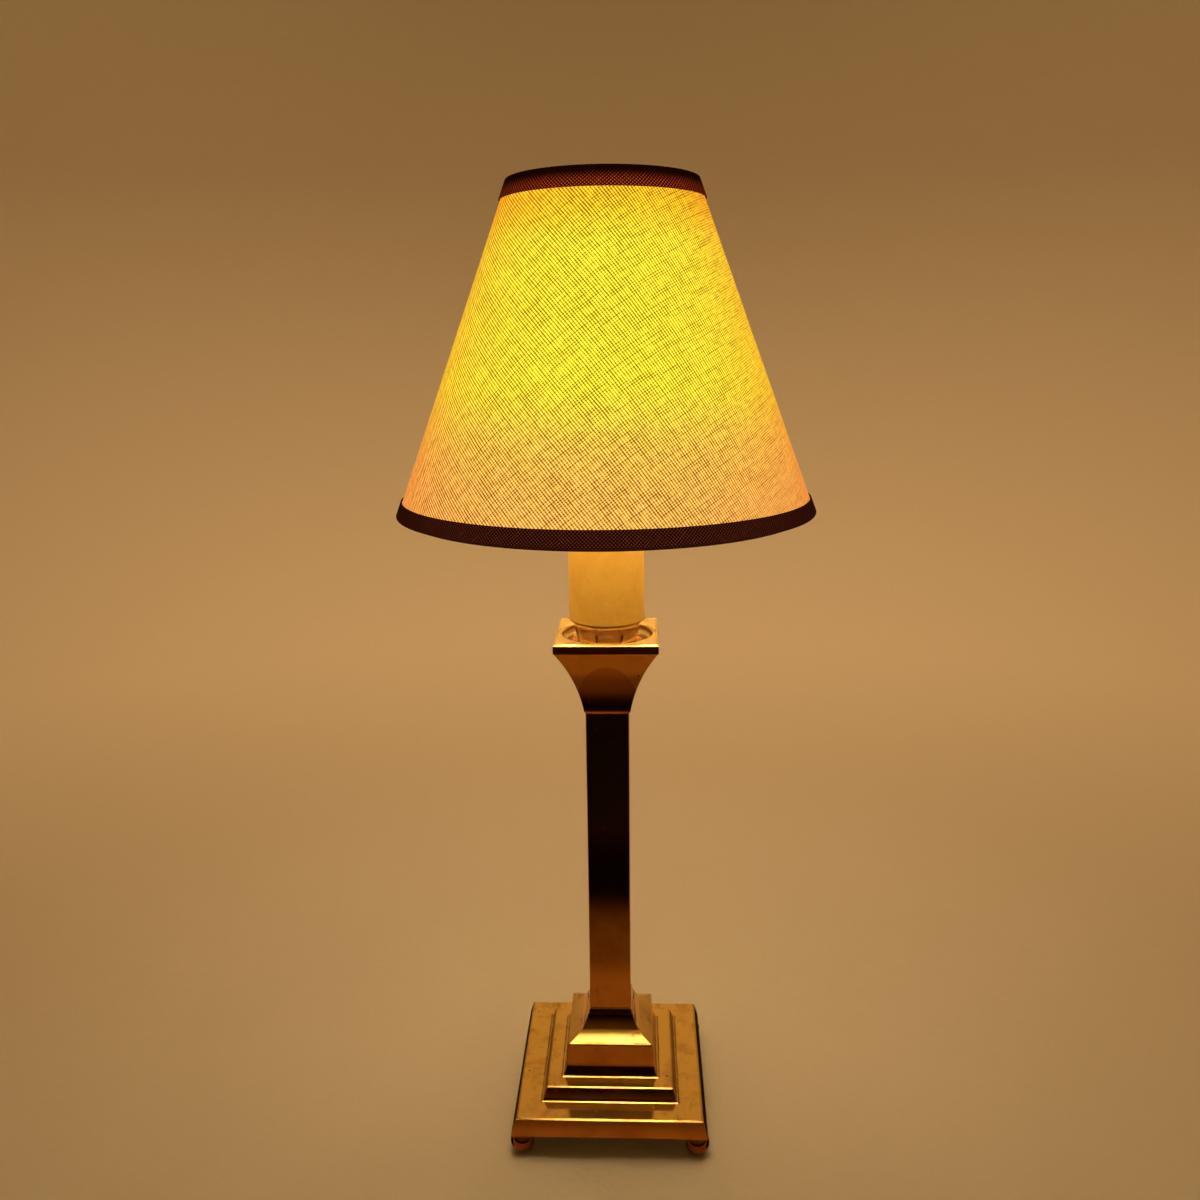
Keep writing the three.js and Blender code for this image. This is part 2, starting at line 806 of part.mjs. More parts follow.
function shadeCover() {
  const outline = [onShade(0, 0), onShade(slant, 0), onShade(slant, -coverSheet), onShade(0, -coverSheet)];
  return piece("shade_cover", turned(outline, shadeSides), linen);
}

function edgeRing(name, along) {
  const [radius, z] = onShade(along, ringOut);
  const ring = piece(name, new THREE.TorusGeometry(radius, ringWire / 2, wireSides, shadeSides), zincSteel);
  ring.position.z = z;
  return ring;
}

// Tape folded over an edge. Its outer leg shows, and its inner leg ends behind the wire ring.
// The way from the edge towards the middle of the shade is +1 up the slant or -1 down it.
function edgeTrim(name, edge, way, width) {
  const outside = tapeGap + trimThickness;
  const inside = foldOut - trimThickness;
  const fold = edge - way * nestGap;
  const foldFace = fold - way * trimThickness;
  const outerEnd = edge + way * width;
  const innerEnd = edge + way * (ringInset + nestGap);
  const outline = [
    onShade(outerEnd, tapeGap),
    onShade(outerEnd, outside),
    onShade(fold, outside),
    onShade(foldFace, tapeGap),
    onShade(foldFace, foldOut),
    onShade(fold, inside),
    onShade(innerEnd, inside),
    onShade(innerEnd, foldOut),
    onShade(fold, foldOut),
    onShade(fold, tapeGap),
  ];
  return piece(name, turned(outline, shadeSides), brownTape);
}

// A wire from the top ring down to an eye that turns on the clip's pin
function strut(name, turn) {
  const [ringRadius, ringZ] = onShade(slant - ringInset, ringOut);
  const top = new THREE.Vector3(ringRadius, 0, ringZ - ringWire / 2 - nestGap - bulbCentre);
  const foot = new THREE.Vector3(eyeMiddle, 0, (eyeDiameter + pinDiameter) / 4 + nestGap);
  const eye = tube(eyeDiameter / 2, pinDiameter / 2 + nestGap, eyeFace, eyeFace + eyeWidth, smallSides);
  const solid = join(eye.rotateY(Math.PI / 2), wire(new THREE.LineCurve3(foot, top), strutWire / 2, 1));
  const arm = piece(name, solid, zincSteel);
  arm.rotation.z = turn;
  arm.position.z = bulbCentre;
  return arm;
}

// Assembly

function group(...members) {
  return new THREE.Group().add(...members);
}

const base = group(
  ...corners.map(ballFoot),
  bottomCover(),
  cordGrommet(),
  basePlate(),
  ballastWeight(),
  hexNut("base_nut", baseNutZ),
  baseWasher(),
  baseStep(),
);

const stem = group(
  plinth(),
  column(),
  tieTube(),
  capital(),
  candleCup(),
  hexNut("cup_nut", cupInside),
  candleSleeve(),
);

const lampholder = group(
  holderBase(),
  socketInsert(),
  ...screwSides.map(terminalScrew),
  holderBarrel(),
  screwShell(),
  centreContact(),
);

const bulb = group(
  bulbCap(),
  capInsulator(),
  capTip(),
  bulbGlass(),
  bulbStem(),
  filament(),
);

const clip = group(
  clipRing("clip_ring_front", -1),
  clipRing("clip_ring_rear", 1),
  clipLug("clip_lug_left", Math.PI),
  clipLug("clip_lug_right", 0),
);

const shade = group(
  shadeCover(),
  edgeRing("top_ring", slant - ringInset),
  edgeRing("bottom_ring", ringInset),
  edgeTrim("top_trim", slant, -1, topTrimWidth),
  edgeTrim("bottom_trim", 0, 1, bottomTrimWidth),
  strut("strut_left", Math.PI),
  strut("strut_right", 0),
);

export default group(base, stem, lampholder, bulb, clip, shade);
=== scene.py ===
import json
import math

import bmesh
import bpy
from mathutils import Matrix, Vector

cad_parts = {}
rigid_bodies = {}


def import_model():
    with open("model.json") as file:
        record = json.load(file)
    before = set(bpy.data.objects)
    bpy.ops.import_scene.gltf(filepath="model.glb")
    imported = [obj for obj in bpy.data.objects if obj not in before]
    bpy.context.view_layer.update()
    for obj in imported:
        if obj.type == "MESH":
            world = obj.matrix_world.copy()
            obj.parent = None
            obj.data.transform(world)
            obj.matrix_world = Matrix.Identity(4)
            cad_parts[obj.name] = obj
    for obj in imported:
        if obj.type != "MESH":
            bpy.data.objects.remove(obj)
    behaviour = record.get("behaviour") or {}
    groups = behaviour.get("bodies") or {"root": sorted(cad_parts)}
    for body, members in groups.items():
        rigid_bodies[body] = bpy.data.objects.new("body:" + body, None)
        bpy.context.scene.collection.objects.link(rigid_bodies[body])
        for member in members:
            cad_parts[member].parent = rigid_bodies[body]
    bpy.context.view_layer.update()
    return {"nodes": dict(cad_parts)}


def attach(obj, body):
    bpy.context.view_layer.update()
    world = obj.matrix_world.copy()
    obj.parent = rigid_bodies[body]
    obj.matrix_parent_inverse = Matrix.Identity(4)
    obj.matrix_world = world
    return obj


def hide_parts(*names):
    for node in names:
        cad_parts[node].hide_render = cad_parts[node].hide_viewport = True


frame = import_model()


# Ball feet
# Four balls turned from brass bar, each with a stud that is pressed up through the cover into a corner of the base.
# They are buffed bright like the rest of the lamp, with old polish left dark in the pits. Their sides are painted
# dark brown as painted shade under the base.

class Value:
    """A socket in a finish. Sums and products of values add Math nodes to it."""

    def __init__(self, finish, socket):
        self.finish = finish
        self.socket = socket

    def maths(self, operation, *inputs):
        return self.finish.node("ShaderNodeMath", {"operation": operation}, dict(enumerate(inputs)))

    def __add__(self, other):
        return self.maths("ADD", self, other)

    def __sub__(self, other):
        return self.maths("SUBTRACT", self, other)

    def __rsub__(self, other):
        return self.maths("SUBTRACT", other, self)

    def __mul__(self, other):
        return self.maths("MULTIPLY", self, other)

    def __truediv__(self, other):
        return self.maths("DIVIDE", self, other)

    def __rtruediv__(self, other):
        return self.maths("DIVIDE", other, self)

    def __pow__(self, other):
        return self.maths("POWER", self, other)

    __radd__ = __add__
    __rmul__ = __mul__

    def size(self):
        return self.maths("ABSOLUTE", self)

    def most(self, other):
        return self.maths("MAXIMUM", self, other)

    def least(self, other):
        return self.maths("MINIMUM", self, other)

    def fade(self, none, full):
        """Rises smoothly from 0 where the value is none to 1 where it is full."""
        settings = {"interpolation_type": "SMOOTHSTEP"}
        return self.finish.node("ShaderNodeMapRange", settings, {0: self, 1: none, 2: full})

    def beside(self, name):
        """Another output of the same node."""
        return Value(self.finish, self.socket.node.outputs[name])


class Finish:
    """A procedural material. Lengths in it are millimetres."""

    def __init__(self, name, owner=None):
        self.material = owner or bpy.data.materials.new(name)
        self.material.use_nodes = True
        self.tree = self.material.node_tree
        self.tree.nodes.clear()

    def node(self, kind, settings=None, sockets=None, output=0):
        made = self.tree.nodes.new(kind)
        for name, value in (settings or {}).items():
            setattr(made, name, value)
        for name, value in (sockets or {}).items():
            if isinstance(value, Value):
                self.tree.links.new(value.socket, made.inputs[name])
            else:
                made.inputs[name].default_value = value
        return Value(self, made.outputs[output]) if made.outputs else None

    def vectors(self, operation, first, second, output=0):
        return self.node("ShaderNodeVectorMath", {"operation": operation}, {0: first, 1: second}, output)

    def place(self):
        """The point in the lamp's own frame."""
        point = self.node("ShaderNodeTexCoord").beside("Object")
        return self.vectors("MULTIPLY", point, (1000, 1000, 1000))

    def parts(self, vector):
        x = self.node("ShaderNodeSeparateXYZ", None, {0: vector})
        return x, x.beside("Y"), x.beside("Z")

    def noise(self, vector, lump, detail=2, roughness=0.5):
        """Cloudy values round 0.5, in lumps of about the given size."""
        sockets = {"Vector": vector, "Scale": 1 / lump, "Detail": detail, "Roughness": roughness}
        return self.node("ShaderNodeTexNoise", None, sockets)

    def specks(self, vector, spacing, radius, share):
        """Round specks on a share of the points of an uneven lattice."""
        cells = self.node("ShaderNodeTexVoronoi", None, {"Vector": vector, "Scale": 1 / spacing})
        chance = self.node("ShaderNodeSeparateColor", None, {0: cells.beside("Color")})
        return cells.fade(radius / spacing, 0.5 * radius / spacing) * chance.fade(share, 0.9 * share)

    def mix(self, share, first, second, blend="MIX"):
        settings = {"data_type": "RGBA", "blend_type": blend}
        return self.node("ShaderNodeMix", settings, {0: share, 6: first, 7: second}, 2)

    def relief(self, height):
        return self.node("ShaderNodeBump", None, {"Height": height, "Distance": 0.001})

    def surface(self, sockets):
        shader = self.node("ShaderNodeBsdfPrincipled", None, sockets)
        self.node("ShaderNodeOutputMaterial", None, {"Surface": shader})
        return self


def brass(name, dust=0, haze=0, sides=(0.7, 0.37, 0.09, 1), joint=None, foot=None, hollow=None,
          buffed=(1, 1, 0.05)):
    """Polished brass with thin tarnish clouds, dark pits and faint buffing lines. Faces that do not face up are
    painted in the browner sides colour, as painted shade. dust dulls its tops and haze all of it. joint is the half
    width of the piece that stands on it and foot the height of its own lower edge. Along the joint, old polish and
    painted shade darken the corner, and the left and right flanks of a piece with a joint are painted dark as painted
    shade; old polish stays dark along the foot. A hollow of the given radius is browned. The lines are long where
    buffed is small."""
    bright = (0.92, 0.62, 0.2, 1)
    brown = (0.46, 0.16, 0.03, 1)
    grime_and_shade = (0.06, 0.024, 0.008, 1)
    metal = Finish(name)
    place = metal.place()
    x, y, z = metal.parts(place)
    sideways, _, upwards = metal.parts(metal.node("ShaderNodeTexCoord").beside("Normal"))
    upright = upwards.fade(0.25, 0.75)
    clouds = metal.noise(place, 13, 5, 0.62)
    blotches = metal.noise(place, 3.2, 4, 0.7)
    lines = metal.noise(metal.vectors("MULTIPLY", place, buffed), 0.22, 3, 0.6)
    streaks = metal.noise(metal.vectors("MULTIPLY", place, (1, 0.3, 0.3)), 2.6, 3)
    tarnish = clouds.fade(0.46, 0.7) * 0.4 + blotches.fade(0.58, 0.76) * 0.15 + streaks.fade(0.62, 0.76) * 0.45
    pits = metal.specks(place, 5.2, 0.6, 0.36)
    dirt_and_shade = pits.most(metal.specks(place, 2.1, 0.22, 0.2))
    if joint:
        # painted shade: darkens the line at the foot of the piece above, with old polish in that corner
        corner_polish_and_shade = (x.size() - joint).fade(1.1, 0.6) * y.size().fade(joint + 1, joint)
        dirt_and_shade = dirt_and_shade.most(corner_polish_and_shade * (0.7 + blotches.fade(0.4, 0.6) * 0.3))
        # painted shade on the left and right flanks
        dirt_and_shade = dirt_and_shade.most(sideways.size().fade(0.6, 0.9) * 0.55)
    if foot:
        dirt_and_shade = dirt_and_shade.most((z - foot).fade(0.6, 0.2) * blotches.fade(0.5, 0.66) * 0.8)
    if hollow:
        hollow_share = (x * x + y * y).fade(hollow ** 2 + 6, hollow ** 2 - 6)
        tarnish = tarnish.most(hollow_share * 0.6)
        dust = dust * (1 - hollow_share)
    # painted shade: faces that do not face up take the browner sides colour
    colour = metal.mix(upright, sides, bright)
    colour = metal.mix(tarnish, colour, brown)
    colour = metal.mix(dirt_and_shade * 0.85, colour, grime_and_shade)
    shine = 0.08 + tarnish * 0.1 + upright * 0.06 + lines.fade(0.5, 0.8) * 0.05 + dirt_and_shade * 0.4
    height = metal.noise(place, 11, 1) * 0.005 + lines * 0.0003 - pits * 0.03
    return metal.surface({
        "Base Color": colour,
        "Metallic": 1 - haze - upright * dust * (1 + tarnish),
        "Roughness": shine,
        "Normal": metal.relief(height),
    })


def arc(centre, radius, start, end, count):
    """Points on a circle from one angle to another, in degrees."""
    turns = [math.radians(start + (end - start) * i / count) for i in range(count + 1)]
    return [(centre[0] + radius * math.cos(t), centre[1] + radius * math.sin(t)) for t in turns]


def turned(outline, sides, start=(1, 0), form=None):
    """Turns an outline of (radius, height) pairs round Z; one that ends where it starts makes a ring."""
    form = form or bmesh.new()
    dots = [form.verts.new((r * start[0], r * start[1], z)) for r, z in outline]
    lines = [form.edges.new(pair) for pair in zip(dots, dots[1:])]
    bmesh.ops.spin(form, geom=dots + lines, cent=(0, 0, 0), axis=(0, 0, 1), angle=2 * math.pi,
                   steps=sides, use_merge=True)
    bmesh.ops.remove_doubles(form, verts=form.verts, dist=0.0005)
    bmesh.ops.recalc_face_normals(form, faces=form.faces)
    return form


sharp_angle = math.radians(24)


def add_piece(name, form, finishes, body, slot, *nodes, flat=False):
    """Makes a piece of a form in millimetres. It rides on a body, and stands for the nodes that are named. Each face
    of a flat piece stays flat; others are shaded round up to the sharp angle."""
    bmesh.ops.scale(form, vec=(0.001, 0.001, 0.001), verts=form.verts)
    mesh = bpy.data.meshes.new(name)
    form.to_mesh(mesh)
    form.free()
    for finish in finishes:
        mesh.materials.append(finish.material)
    made = bpy.data.objects.new(name, mesh)
    bpy.context.scene.collection.objects.link(made)
    if flat:
        mesh.shade_flat()
    else:
        mesh.shade_smooth()
        mesh.set_sharp_from_angle(angle=sharp_angle)
        made.modifiers.new("flat_faces", "WEIGHTED_NORMAL").keep_sharp = True
    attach(made, body)
    if nodes:
        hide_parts(*nodes)
    return made


foot_radius = 4.3
foot_centre = 4.15
stud_radius = 1.3
foot_across = 31.5
tray_floor = 8.35
stud_top = tray_floor + 3.4
sole_angle = math.degrees(math.asin(foot_centre / foot_radius))
stud_angle = math.degrees(math.acos(stud_radius / foot_radius))
foot_outline = [
    (0, 0),
    *arc((0, foot_centre), foot_radius, -sole_angle, stud_angle, 22),
    (stud_radius, stud_top),
    (0, stud_top),
]
# painted shade: dark sides for the feet under the base
foot_brass_shaded = brass("brass_feet", sides=(0.36, 0.15, 0.035, 1))
for end, y in (("front", -foot_across), ("rear", foot_across)):
    for side, x in (("left", -foot_across), ("right", foot_across)):
        ball = turned(foot_outline, 48)
        bmesh.ops.translate(ball, vec=(x, y, 0), verts=ball.verts)
        add_piece(f"ball_foot_{end}_{side}", ball, [foot_brass_shaded], "root", "polished_brass", f"foot_{end}_{side}")


# Bottom cover and cord grommet
# A sheet of zinc-plated steel that closes the hollow base, let into its rim, and a black rubber ring snapped into
# the cover's middle, which keeps the cord off the edge of the hole.

def dress(finish, *nodes):
    """Gives nodes of the frame a finish of their own."""
    for node in nodes:
        slots = frame["nodes"][node].data.materials
        slots.clear()
        slots.append(finish.material)


def zinc_plate():
    """Zinc on steel: grey with a faint frost of crystals and fine handling scratches."""
    zinc = Finish("zinc_plated_steel")
    place = zinc.place()
    crystals = zinc.node("ShaderNodeTexVoronoi", None, {"Vector": place, "Scale": 1 / 2.4})
    tone = zinc.node("ShaderNodeSeparateColor", None, {0: crystals.beside("Color")})
    scratches = zinc.noise(zinc.vectors("MULTIPLY", place, (0.06, 1, 1)), 0.3, 3)
    colour = zinc.mix(tone, (0.42, 0.41, 0.38, 1), (0.58, 0.57, 0.54, 1))
    return zinc.surface({
        "Base Color": colour,
        "Metallic": 1.0,
        "Roughness": 0.26 + tone * 0.1 + scratches.fade(0.5, 0.8) * 0.15,
        "Normal": zinc.relief(scratches * 0.002),
    })


def black_rubber():
    """Moulded rubber: near black, with a soft bloom."""
    rubber = Finish("black_rubber")
    bloom = rubber.noise(rubber.place(), 1.5, 4)
    return rubber.surface({
        "Base Color": rubber.mix(bloom.fade(0.45, 0.75), (0.012, 0.011, 0.01, 1), (0.04, 0.037, 0.034, 1)),
        "Roughness": 0.55 + bloom * 0.3,
        "Normal": rubber.relief(bloom * 0.02),
    })


steel = zinc_plate()
dress(steel, "bottom_cover")

cord_radius = 3.2
grommet_neck = 4.5
grommet_rim = 5.5
grommet_round = 0.3
grommet_foot = tray_floor - 0.5
cover_top = 9.35
grommet_top = cover_top + 0.8
grommet_outline = [
    (cord_radius, grommet_foot),
    *arc((cord_radius + grommet_round, grommet_foot), grommet_round, 180, 270, 4),
    *arc((grommet_rim - grommet_round, grommet_foot), grommet_round, 270, 360, 4),
    (grommet_rim, tray_floor),
    (grommet_neck, tray_floor),
    (grommet_neck, cover_top),
    (grommet_rim, cover_top),
    (grommet_neck, grommet_top),
    (cord_radius, grommet_top),
    (cord_radius, grommet_foot),
]
add_piece("rubber_grommet", turned(grommet_outline, 48), [black_rubber()], "root", "rubber", "cord_grommet")


# Base tray
# The lowest tier, a square tray cast in brass with leaning sides, ground flat and polished. Hard buffing has rolled
# its upper edges into narrow bright facets. Its top is painted dark along the foot of the second tier, as dried polish
# and painted shade, and its left and right flanks are painted dark as painted shade.

def from_node(node):
    """A node's own mesh in millimetres, with its loose triangles joined into whole faces."""
    form = bmesh.new()
    form.from_mesh(frame["nodes"][node].data)
    bmesh.ops.scale(form, vec=(1000, 1000, 1000), verts=form.verts)
    bmesh.ops.remove_doubles(form, verts=form.verts, dist=0.001)
    bmesh.ops.dissolve_limit(form, angle_limit=math.radians(0.5), verts=form.verts, edges=form.edges)
    return form


def shave(form, point, normal):
    """Cuts off what lies beyond a plane, and closes the cut."""
    whole = form.verts[:] + form.edges[:] + form.faces[:]
    cut = bmesh.ops.bisect_plane(form, geom=whole, dist=0.0001, plane_co=point, plane_no=normal, clear_outer=True)
    rim = [e for e in cut["geom_cut"] if isinstance(e, bmesh.types.BMEdge)]
    bmesh.ops.edgeloop_fill(form, edges=rim)
    bmesh.ops.recalc_face_normals(form, faces=form.faces)


def roll_edges(form, top, half, lean, slope, width):
    """Rolls the top edges of a square piece with leaning sides into narrow bright facets, as hard buffing does, and
    breaks its sharp corners."""
    edge_break = 0.06
    corner_break = 0.1
    up = Vector((0, 0, 1))
    fall = math.tan(math.radians(slope))
    drop = width * fall / (1 - lean * fall)
    edge = half + lean * drop - edge_break
    side_slope = math.degrees(math.atan(1 / lean))
    rolled = math.radians(slope)
    broken = math.radians((slope + side_slope) / 2)
    for x, y in ((1, 0), (-1, 0), (0, 1), (0, -1)):
        out = Vector((x, y, 0))
        shave(form, out * (half - width) + up * top, out * math.sin(rolled) + up * math.cos(rolled))
        shave(form, out * edge + up * (top - drop), out * math.sin(broken) + up * math.cos(broken))
    cut_half = half - corner_break
    for x, y in ((1, 1), (-1, 1), (1, -1), (-1, -1)):
        shave(form, Vector((x * cut_half, y * cut_half, top)), Vector((x, y, 2 * lean)))


def leaning(low, high, low_half, high_half):
    """Tells whether a point lies on the four leaning sides between two heights."""
    def test(point):
        share = (point.z - low) / (high - low)
        half = low_half + (high_half - low_half) * share
        return abs(max(abs(point.x), abs(point.y)) - half) < 0.02
    return test


def splay(form, low, high, halves, new_halves):
    """Leans the sides of a square piece anew: the halves of its width are at its foot and at its top."""
    on_side = leaning(low, high, *halves)
    for vert in form.verts:
        if on_side(vert.co):
            share = (vert.co.z - low) / (high - low)
            half = new_halves[0] + (new_halves[1] - new_halves[0]) * share
            spread = half / max(abs(vert.co.x), abs(vert.co.y))
            vert.co = vert.co.x * spread, vert.co.y * spread, vert.co.z
    return form


tray_top = 14.35
tray_cast_halves = (35.1, 34.0)
tray_foot_half = 35.2
tray_edge_half = 33.5
tray_facet_slope = 26.5
tray_facet_width = 0.62
step_half = 24.55
tray_lean = (tray_foot_half - tray_edge_half) / (tray_top - tray_floor)
tray = splay(from_node("base_plate"), tray_floor, tray_top, tray_cast_halves, (tray_foot_half, tray_edge_half))
roll_edges(tray, tray_top, tray_edge_half, tray_lean, tray_facet_slope, tray_facet_width)
tray_brass = brass("brass_tray", dust=0.1, joint=step_half, buffed=(0.05, 1, 1))
add_piece("base_tray", tray, [tray_brass], "root", "polished_brass", "base_plate", flat=True)


# Second tier
# A smaller square casting of the same brass that stands on the tray and covers the ballast's boss. It is buffed like
# the tray and soldered down, and the thin bead of solder runs as a bright line along its foot. Like the tray, it is
# painted dark along the foot of the plinth, as dried polish and painted shade, and on its left and right flanks as
# painted shade.

corner = (1, 1)


def solder(form, half, foot, reach, rise):
    """Adds the flat bead of solder that runs out from the foot of a square piece."""
    hidden = half - 0.4
    bead = [(hidden, foot), (half + reach, foot), (half - 0.05, foot + rise), (hidden, foot + rise), (hidden, foot)]
    turned(bead, 4, corner, form)


step_top = 19.35
step_cast_halves = (24.3, 23.5)
step_edge_half = 23.05
step_facet_slope = 28
step_facet_width = 0.52
step_solder_reach = 0.34
step_solder_rise = 0.18
plinth_half = 17.45
step_lean = (step_half - step_edge_half) / (step_top - tray_top)
second = splay(from_node("base_step"), tray_top, step_top, step_cast_halves, (step_half, step_edge_half))
roll_edges(second, step_top, step_edge_half, step_lean, step_facet_slope, step_facet_width)
solder(second, step_half, tray_top, step_solder_reach, step_solder_rise)
step_brass = brass("brass_second_tier", dust=0.1, joint=plinth_half, buffed=(0.05, 1, 1))
add_piece("second_tier", second, [step_brass], "root", "polished_brass", "base_step", flat=True)


# Ballast and tie tube
# A block of grey cast iron in the hollow base gives the lamp its weight. A threaded steel tube runs from a brass nut
# and a washer under it up to a nut in the candle cup, and pulls the whole stack together.

def cast_iron():
    """Grey iron as cast: dark, grainy, with a little rust."""
    iron = Finish("cast_iron")
    place = iron.place()
    grain = iron.noise(place, 0.9, 6, 0.65)
    rust = iron.noise(place, 9, 4).fade(0.58, 0.75) * 0.6
    return iron.surface({
        "Base Color": iron.mix(rust, (0.045, 0.042, 0.04, 1), (0.13, 0.045, 0.018, 1)),
        "Metallic": 0.4,
        "Roughness": 0.6 + grain * 0.3,
        "Normal": iron.relief(grain * 0.25),
    })


def plain_brass():
    """Brass left as it was turned: fine rings from the tool, dulled by age."""
    metal = Finish("turned_brass")
    place = metal.place()
    rings = metal.noise(metal.vectors("MULTIPLY", place, (0.08, 0.08, 1)), 0.18, 2)
    age = metal.noise(place, 5, 4).fade(0.45, 0.75)
    return metal.surface({
        "Base Color": metal.mix(age, (0.72, 0.52, 0.2, 1), (0.42, 0.26, 0.09, 1)),
        "Metallic": 1.0,
        "Roughness": 0.24 + age * 0.2 + rings * 0.08,
        "Normal": metal.relief(rings * 0.006),
    })


hardware_brass = plain_brass()
dress(cast_iron(), "ballast_weight")
dress(hardware_brass, "base_nut", "cup_nut")
dress(steel, "base_washer", "tie_tube")


# Plinth
# A brass casting with leaning faces that sweep up in a cove on all four sides to meet the column. A square spigot on
# top enters the column. The cove, which faces upwards, takes the bright top colour, and the faces the browner colour
# painted on the sides as painted shade.

def ease(form, width, chosen, crisp=None):
    """Rounds the sharp edges whose ends are both chosen, except the level ones at the crisp height."""
    edges = [e for e in form.edges if e.is_manifold and e.calc_face_angle() > math.radians(25)
             and all(chosen(v.co) for v in e.verts)
             and not (crisp and all(abs(v.co.z - crisp) < 0.01 for v in e.verts))]
    bmesh.ops.bevel(form, geom=edges, offset=width, offset_type="OFFSET", affect="EDGES",
                    segments=3, profile=0.5, material=-1, clamp_overlap=True)


def arc_between(start, end, radius, count):
    """Points from start to end on an arc that has its centre on the right of the way there."""
    chord = Vector(end) - Vector(start)
    middle = (Vector(start) + Vector(end)) / 2
    offset = math.sqrt(radius ** 2 - (chord.length / 2) ** 2)
    centre = middle + Vector((chord.y, -chord.x)).normalized() * offset
    first = math.degrees(math.atan2(start[1] - centre.y, start[0] - centre.x))
    last = math.degrees(math.atan2(end[1] - centre.y, end[0] - centre.x))
    sweep = (last - first + 180) % 360 - 180
    return arc(centre, radius, first, first + sweep, count)


tube_hole = 5.3
spigot_half = 6.1
spigot_length = 5
plinth_face_top = 31.55
plinth_face_half = 15.6
plinth_top = 41.464
plinth_lip = 7.8
plinth_hollow_half = plinth_face_half - 4.5
plinth_hollow_top = plinth_face_top - 3
plinth_solder_reach = 0.42
plinth_solder_rise = 0.22
cove_knee = (10.9, 34.32)
cove_neck = (10.3, 34.95)
cove_foot_radius = 26
cove_knee_radius = 2.2
cove_neck_radius = 18.3
waist = Vector((16.3, 23.2))
waist_round = 0.12
plinth_edge = 0.35
foot_way = (Vector((plinth_half, step_top)) - waist).normalized()
face_way = (Vector((plinth_face_half, plinth_face_top)) - waist).normalized()
plinth_outline = [
    (plinth_half, step_top),
    tuple(waist + foot_way * waist_round),
    tuple(waist + face_way * waist_round),
    *arc_between((plinth_face_half, plinth_face_top), cove_knee, cove_foot_radius, 10),
    *arc_between(cove_knee, cove_neck, cove_knee_radius, 6)[1:],
    *arc_between(cove_neck, (plinth_lip, plinth_top), cove_neck_radius, 16)[1:],
    (spigot_half, plinth_top),
    (spigot_half, plinth_top + spigot_length),
    (tube_hole, plinth_top + spigot_length),
    (tube_hole, plinth_hollow_top),
    (plinth_hollow_half, plinth_hollow_top),
    (plinth_hollow_half, step_top),
    (plinth_half, step_top),
]
block = turned(plinth_outline, 4, corner)
on_foot = leaning(step_top, waist.y, plinth_half, waist.x)
on_face = leaning(waist.y, plinth_face_top, waist.x, plinth_face_half)


def on_mitre(point):
    """Tells whether a point lies where two coves meet."""
    return plinth_face_top < point.z < plinth_top + 0.01 and abs(abs(point.x) - abs(point.y)) < 0.01


ease(block, plinth_edge, lambda point: on_foot(point) or on_face(point) or on_mitre(point))
solder(block, plinth_half, step_top, plinth_solder_reach, plinth_solder_rise)
plinth_brass = brass("brass_plinth", dust=0.15)
add_piece("coved_plinth", block, [plinth_brass], "root", "polished_brass", "plinth")


# Column
# A square brass tube with eased corners, drawn and then buffed along its length. It stands over the plinth's spigot
# and holds the capital's in its top, and the tie tube inside pulls it tight between them.

column_top = 158.764
column_half = 7.6
column_bore = 6.4
column_edge = 0.42
column_outline = [
    (column_half, plinth_top),
    (column_half, column_top),
    (column_bore, column_top),
    (column_bore, plinth_top),
    (column_half, plinth_top),
]
shaft = turned(column_outline, 4, corner)
ease(shaft, column_edge, leaning(plinth_top, column_top, column_half, column_half))
column_brass = brass("brass_column", buffed=(1, 1, 0.02))
add_piece("square_column", shaft, [column_brass], "root", "polished_brass", "column")


# Capital
# A brass casting: a spigot in the column, a thin lip, a flare that curves out on four sides, and a square slab with
# a round drip dish turned into its top. The dish's rounded rim is the brightest line on it.

def cut_away(form, *tools):
    """Cuts tools out of a form."""
    shown = bpy.context.scene.collection.objects
    made = []
    for part in (form, *tools):
        mesh = bpy.data.meshes.new("cutting")
        part.to_mesh(mesh)
        part.free()
        made.append(bpy.data.objects.new("cutting", mesh))
        shown.link(made[-1])
    for tool in made[1:]:
        cut = made[0].modifiers.new("cut", "BOOLEAN")
        cut.operation = "DIFFERENCE"
        cut.solver = "EXACT"
        cut.object = tool
    result = bmesh.new()
    result.from_object(made[0], bpy.context.evaluated_depsgraph_get())
    for part in made:
        bpy.data.objects.remove(part)
    return result


def roll_over(form, top, half, slope, width):
    """Rolls the outer edge of a square slab round the dish down into a narrow bright facet."""
    drop = width * math.tan(math.radians(slope))
    edges = [e for e in form.edges
             if all(abs(v.co.z - top) < 0.01 and abs(max(abs(v.co.x), abs(v.co.y)) - half) < 0.02 for v in e.verts)]
    facet = bmesh.ops.bevel(form, geom=edges, offset=width, offset_type="OFFSET", affect="EDGES",
                            segments=1, profile=0.5, material=-1, clamp_overlap=True)
    for vert in facet["verts"]:
        if vert.co.z < top - 0.01:
            spread = half / max(abs(vert.co.x), abs(vert.co.y))
            vert.co = vert.co.x * spread, vert.co.y * spread, top - drop
    for axis in (Vector((1, 0, 0)), Vector((0, 1, 0))):
        for end in (-1, 1):
            rim = [f for f in form.faces if all(max(abs(v.co.x), abs(v.co.y)) > half - width - 0.01 for v in f.verts)]
            lines = {e for f in rim for e in f.edges}
            dots = {v for f in rim for v in f.verts}
            bmesh.ops.bisect_plane(form, geom=[*dots, *lines, *rim], dist=0.001,
                                   plane_co=axis * end * (half - 2 * width), plane_no=axis)


